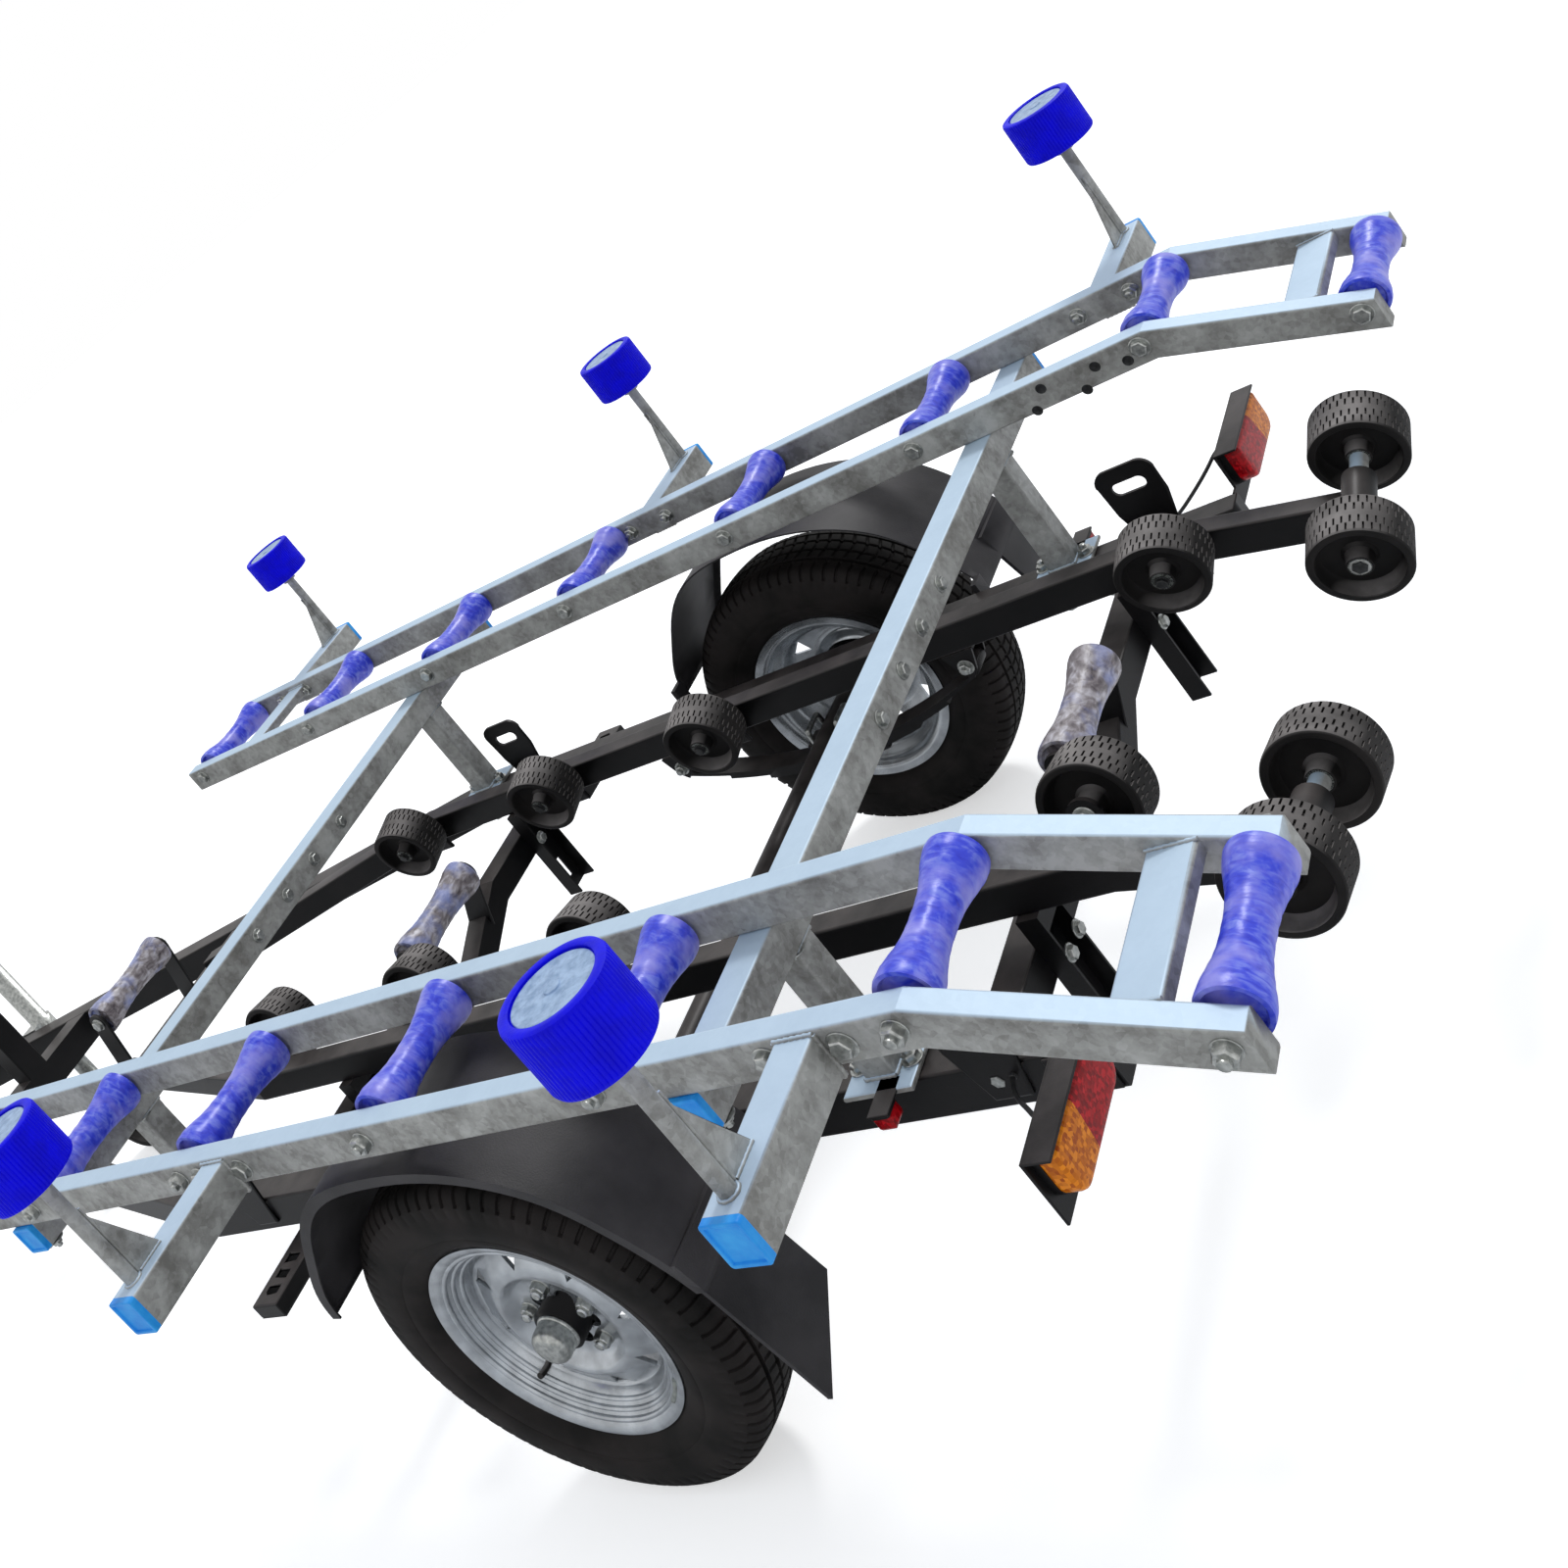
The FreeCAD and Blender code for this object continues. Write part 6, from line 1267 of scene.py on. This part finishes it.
@dataclass
class TailLamps:
    """Two tail lamps on their coated brackets, with a small marker lamp under a strip on each side."""

    lens_y: float = 657.0
    lens_z: float = 461.5
    lens_half: Tuple[float, float] = (87.0, 33.5)
    lens_radii: Tuple[float, float, float, float] = (6.0, 6.0, 25.0, 25.0)
    base_depth: float = 9.0
    plates: Tuple[Tuple[Vec, Vec], ...] = (
        ((-856.0, 560.0, 411.0), (-852.0, 754.0, 499.0)), ((-888.0, 560.0, 495.4), (-854.0, 754.0, 499.0)),
        ((-856.0, 545.0, 379.0), (-786.0, 549.0, 436.0)), ((-856.0, 545.0, 411.0), (-852.0, 562.0, 440.0)),
        ((-604.0, 543.0, 444.0), (-574.0, 602.0, 448.0)))
    lens_rows: Pairs = ((1.2, 9.0), (1.2, 25.0), (2.2, 28.4), (4.6, 30.6), (8.0, 31.6), (16.0, 32.0))
    marker_rows: Pairs = ((0.8, 3.0), (0.8, 18.0), (2.6, 21.4), (6.0, 22.0))

    def brackets(self, yard: Yard, surface: Surface, sign: float) -> None:
        """Adds one side's back plate, hood, foot and web in the black coat."""
        for low, high in self.plates:
            corners = yard.at(low[0], sign * low[1], low[2]), yard.at(high[0], sign * high[1], high[2])
            surface.grid(block(np.minimum(*corners), np.maximum(*corners), 1.2), 1)

    def lamps(self, yard: Yard, surface: Surface, sign: float) -> None:
        """Adds one side's lamp and marker, each a dark base under a rounded lens."""
        middle = yard.at(-856.0, sign * self.lens_y, self.lens_z)
        across, up = (0.0, 1.0, 0.0), (0.0, 0.0, 1.0)
        radii = self.lens_radii if sign > 0 else tuple(reversed(self.lens_radii[:2])) + self.lens_radii[2:]
        back = np.array([-1.0, 1.0, 1.0])
        base = ((0.0, 0.0), (0.0, self.base_depth), (1.5, self.base_depth))
        for rows, mark in ((base, 1), (self.lens_rows, 0)):
            grid = stacked(np.zeros(3), across, up, self.lens_half, radii, rows) * back
            surface.grid(middle + grid, mark)
        marker = yard.at(-589.0, sign * 586.0, 444.0)
        for rows, mark in ((((0.0, 0.0), (0.0, 3.0), (1.0, 3.0)), 1), (self.marker_rows, 0)):
            grid = stacked(np.zeros(3), (1.0, 0.0, 0.0), (0.0, -1.0, 0.0), (13.0, 15.0), (4.0,) * 4, rows)
            surface.grid(marker + grid, mark)

    def build(self, yard: Yard, lens: Material, coat: Material) -> None:
        """Builds both lamps with their brackets in one piece."""
        surface = Surface()
        for _, sign in SIDES:
            self.brackets(yard, surface, sign)
            self.lamps(yard, surface, sign)
        surface.piece("lensed_tail_lamps", [lens, coat], "chassis", "lamp_red", 25.0, "tail_lamps")


@dataclass
class LampLead:
    """Sheathed lead that leaves the side rail and runs into the back of a tail lamp."""

    diameter: float = 6.0
    length: float = 0.177
    route: Tuple[Vec, ...] = ((-745.0, 545.0, 425.0), (-745.0, 562.0, 425.0), (-762.0, 590.0, 428.0),
                              (-800.0, 630.0, 447.0), (-826.0, 660.0, 466.0), (-852.0, 668.0, 468.0))

    def build(self, yard: Yard, side: str, sign: float, material: Material) -> None:
        """Builds one side's lead as a round curve, and the rubber grommet where it leaves the rail."""
        points = [yard.at(x, sign * y, z) for x, y, z in self.route]
        curve = bpy.data.curves.new("lamp_lead_" + side, "CURVE")
        curve.dimensions = "3D"
        curve.bevel_depth = self.diameter / 2 * MM
        curve.bevel_resolution = 4
        curve.use_fill_caps = True
        spline = curve.splines.new("NURBS")
        spline.points.add(len(points) - 1)
        for point, place in zip(spline.points, points):
            point.co = (*place, 1.0)
        spline.order_u = 3
        spline.use_endpoint_u = True
        spline.resolution_u = 12
        curve.materials.append(material)
        lead = stand("lamp_lead_" + side, curve, "chassis")
        surface = Surface()
        grommet = [(0.0, 3.2), (0.0, 8.0), (1.5, 8.6), (3.0, 7.6), (4.0, 5.4), (9.0, 4.4), (10.0, 3.2)]
        surface.grid(turned(grommet, points[0], (0.0, sign, 0.0), 24))
        surface.grid(turned(grommet, points[-1], (1.0, 0.0, 0.0), 24))
        surface.piece("lead_grommets_" + side, [material], "chassis", "black_paint")


@dataclass
class WinchStrap:
    """Webbing wound on the winch drum, its turns lying a little askew."""

    inner: float = 40.0
    outer: float = 52.0
    half_width: float = 24.0
    turns: int = 7

    def build(self, yard: Yard, material: Material) -> None:
        """Builds the roll: rings of webbing, whose sides stand in and out by turns."""
        centre, axis = yard.joint("winch_roll")
        radii = np.repeat(np.linspace(self.inner, self.outer, self.turns + 1), 2)[1:-1]
        sides = self.half_width + 0.7 * (np.arange(len(radii)) // 2 % 2)
        left = np.stack([-sides, radii], axis=-1)
        surface = Surface()
        surface.grid(turned(mirrored(left), centre, axis, 64))
        surface.piece("wound_winch_strap", [material], "winch_roll", "black_paint", 25.0)


@dataclass
class WireTie:
    """Thin wire wound round a roller rail's tail."""

    spot: Vec = (-1045.0, 330.0, 463.1)
    half: Tuple[float, float] = (21.5, 26.5)
    squareness: float = 0.35
    radius: float = 1.1

    def build(self, yard: Yard, material: Material) -> None:
        """Builds the tie: two turns close round the rail, and a twisted end."""
        angle = np.linspace(0.0, 4 * math.pi, 97)
        wide, tall = [np.sign(wave) * np.abs(wave) ** self.squareness * half
                      for wave, half in zip((np.cos(angle), np.sin(angle)), self.half)]
        x, y, z = self.spot
        drift = np.linspace(-3.0, 3.0, len(angle))
        surface = Surface()
        line = np.stack([x + drift, y + wide, z + tall], axis=-1) * MM + [yard.axle_x, 0.0, 0.0]
        surface.grid(swept(line, self.radius, 8))
        surface.piece("wire_tie", [material], "chassis", "zinc", 60.0)


@dataclass
class Studio:
    """Floor, light and camera of the photograph's view."""

    axle_x: float
    camera: Vec = (-1.944, 1.933, 1.6947)
    yaw_deg: float = -47.6476
    pitch_deg: float = -11.93
    roll_deg: float = -39.0678
    focal_px: float = 1891.786
    frame_px: float = 1600.0
    centre_px: Tuple[float, float] = (500.0, 505.04)
    sun_strength: float = 1.1
    sun_width_deg: float = 12.0
    sun_turn_deg: Vec = (38.0, -18.0, 20.0)
    floor_reach: float = 90.0
    floor_glow: float = 0.55

    def place_camera(self) -> None:
        """Sets the camera at the place that the photograph was taken from."""
        yaw, pitch, roll = (math.radians(v) for v in (self.yaw_deg, self.pitch_deg, self.roll_deg))
        forward = np.array([math.cos(pitch) * math.cos(yaw), math.cos(pitch) * math.sin(yaw),
                            math.sin(pitch)])
        level = np.cross(forward, [0.0, 0.0, 1.0])
        level /= np.linalg.norm(level)
        above = np.cross(level, forward)
        right = math.cos(roll) * level + math.sin(roll) * above
        up = -math.sin(roll) * level + math.cos(roll) * above
        data = bpy.data.cameras.new("camera")
        half = self.frame_px / 2
        data.lens = self.focal_px / self.frame_px * data.sensor_width
        data.shift_x = (half - self.centre_px[0]) / self.frame_px
        data.shift_y = (self.centre_px[1] - half) / self.frame_px
        data.clip_end = 200.0
        camera = link("camera", data)
        matrix = np.eye(4)
        matrix[:3, 0], matrix[:3, 1], matrix[:3, 2] = right, up, -forward
        matrix[:3, 3] = np.array(self.camera) + [self.axle_x, 0.0, 0.0]
        camera.matrix_world = Matrix([list(row) for row in matrix])
        bpy.context.scene.camera = camera

    def light(self) -> None:
        """Adds the world's even light and one soft sun."""
        world = bpy.data.worlds.new("studio")
        world.use_nodes = True
        world.node_tree.nodes.clear()
        seen = add(world, "LightPath").outputs
        either = add(world, "Math", {0: seen["Is Camera Ray"], 1: seen["Is Glossy Ray"]}, operation="MAXIMUM")
        mix = add(world, "Mix", {0: either.outputs[0], 6: linear("#c9cdd2"), 7: WHITE}, data_type="RGBA")
        back = add(world, "Background", {"Strength": 1.0, "Color": mix.outputs[2]})
        add(world, "OutputWorld", {"Surface": back.outputs[0]})
        bpy.context.scene.world = world
        sun = bpy.data.lights.new("sun", "SUN")
        sun.energy = self.sun_strength
        sun.angle = math.radians(self.sun_width_deg)
        link("sun", sun).rotation_euler = [math.radians(angle) for angle in self.sun_turn_deg]

    def floor(self) -> None:
        """Lays a plain white floor that keeps the trailer's shadow."""
        mesh = bpy.data.meshes.new("floor")
        reach = self.floor_reach
        corners = [(-reach, -reach, 0.0), (reach, -reach, 0.0), (reach, reach, 0.0), (-reach, reach, 0.0)]
        mesh.from_pydata(corners, [], [(0, 1, 2, 3)])
        skin = Skin("white_floor")
        seen = skin.add("LightPath").outputs["Is Camera Ray"]
        feed(skin.shader, {"Base Color": linear("#f4f4f4"), "Roughness": 0.9, "Emission Color": WHITE,
                           "Emission Strength": skin.maths("MULTIPLY", seen, self.floor_glow)})
        mesh.materials.append(skin.material)
        link("floor", mesh)


# Node, name of its copy, body, slot, and the radius in mm of the tubes' corners
COPIES = (
    ("leaf_springs", "rolled_leaf_springs", "chassis", "black_paint", 0.0),
    ("winch_drum", "plated_winch_drum", "winch_roll", "zinc", 0.0),
    ("coupling", "plated_coupling", "chassis", "zinc", 0.0),
    ("jockey_tube", "plated_jockey_tube", "chassis", "zinc", 0.0),
    ("jockey_leg", "plated_jockey_leg", "jockey_slide_leg", "zinc", 0.0),
    ("jockey_wheel", "rubber_jockey_wheel", "jockey_roll", "wobble_rubber", 0.0),
    ("bow_roller", "rubber_bow_roller", "bow_roll", "wobble_rubber", 0.0),
    ("side_rails", "coated_side_rails", "chassis", "black_paint", 3.5),
    ("roller_rails", "coated_roller_rails", "chassis", "black_paint", 3.0),
    ("cross_members", "coated_cross_members", "chassis", "black_paint", 3.0),
    ("portal_beams", "dipped_portal_beams", "chassis", "galvanised", 3.0),
    ("cradle_ladders", "dipped_cradle_ladders", "chassis", "galvanised", 3.0),
    ("guide_arms", "dipped_guide_arms", "chassis", "galvanised", 3.0),
)


def main() -> None:
    """Loads the frame, dresses it and builds the scene."""
    logging.basicConfig(level=logging.INFO)
    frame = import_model()
    bpy.context.scene.view_settings.view_transform = "Standard"
    yard = Yard(frame)
    studio = Studio(axle_x=yard.axle_x)
    studio.place_camera()
    studio.light()
    studio.floor()
    finishes = {slot: finish.build() for slot, finish in FINISHES.items()}
    finishes["rim_silver"] = WheelPaint(yard.axle_x).build()
    for part in frame["record"]["subparts"]:
        for slot in frame["nodes"][part["node"]].material_slots:
            slot.material = finishes[part["material_slot"]]
    LOG.info("dressed %d nodes", len(frame["nodes"]))
    dull_film, nylon, bush, dark_steel_and_painted_hole_shade, guard, webbing, sheath = (
        finish.build() for finish in (KEEL_FILM, PALE_NYLON, BUSH_NYLON, DARK_STEEL_AND_PAINTED_HOLE_SHADE, GUARD_PLASTIC, WEBBING,
                                      CABLE_SHEATH))
    rubber, zinc, coat, zinc_skin = (
        finishes[slot] for slot in ("wobble_rubber", "zinc", "black_paint", "galvanised"))
    for node, name, body, slot, corner_mm in COPIES:
        stand_copy(frame, node, name, body, finishes[slot], corner_mm)
    stand_copy(frame, "mudguards", "moulded_mudguards", "chassis", guard)
    for side, sign in SIDES:
        RoadTyre().build(yard, side, finishes["tyre"])
        lacquer = finishes["rim_silver"]
        RoadWheel().build(yard, side, sign, lacquer, [zinc, rubber, bush, lacquer])
        LampLead().build(yard, side, sign, sheath)
        for index in range(1, CRADLE_PINS + 1):
            place = "%s_%d" % (side, index)
            WaistedRoller(*CRADLE_ROLLER).build(
                yard, "cradle_roll_" + place, "cradle_roller_" + place, finishes["keel_rubber"])
    for index in range(1, KEEL_PINS + 1):
        WaistedRoller(*KEEL_ROLLER).build(yard, "keel_roll_%d" % index, "keel_roller_%d" % index, dull_film)
    WobbleRoller().build_all(yard, [rubber, bush, zinc_skin, dark_steel_and_painted_hole_shade])
    GuideRoller().build_all(yard, [finishes["guide_blue"], nylon])
    Fasteners().build(yard, [zinc, dark_steel_and_painted_hole_shade])
    WeldBeads().build(yard, zinc_skin, coat)
    PunchedHoles().build(yard, dark_steel_and_painted_hole_shade)
    EndCaps().build(yard, finishes["cap_blue"])
    TailLamps().build(yard, finishes["lamp_red"], coat)
    WinchStrap().build(yard, webbing)
    WireTie().build(yard, zinc)


if __name__ == "__main__":
    main()
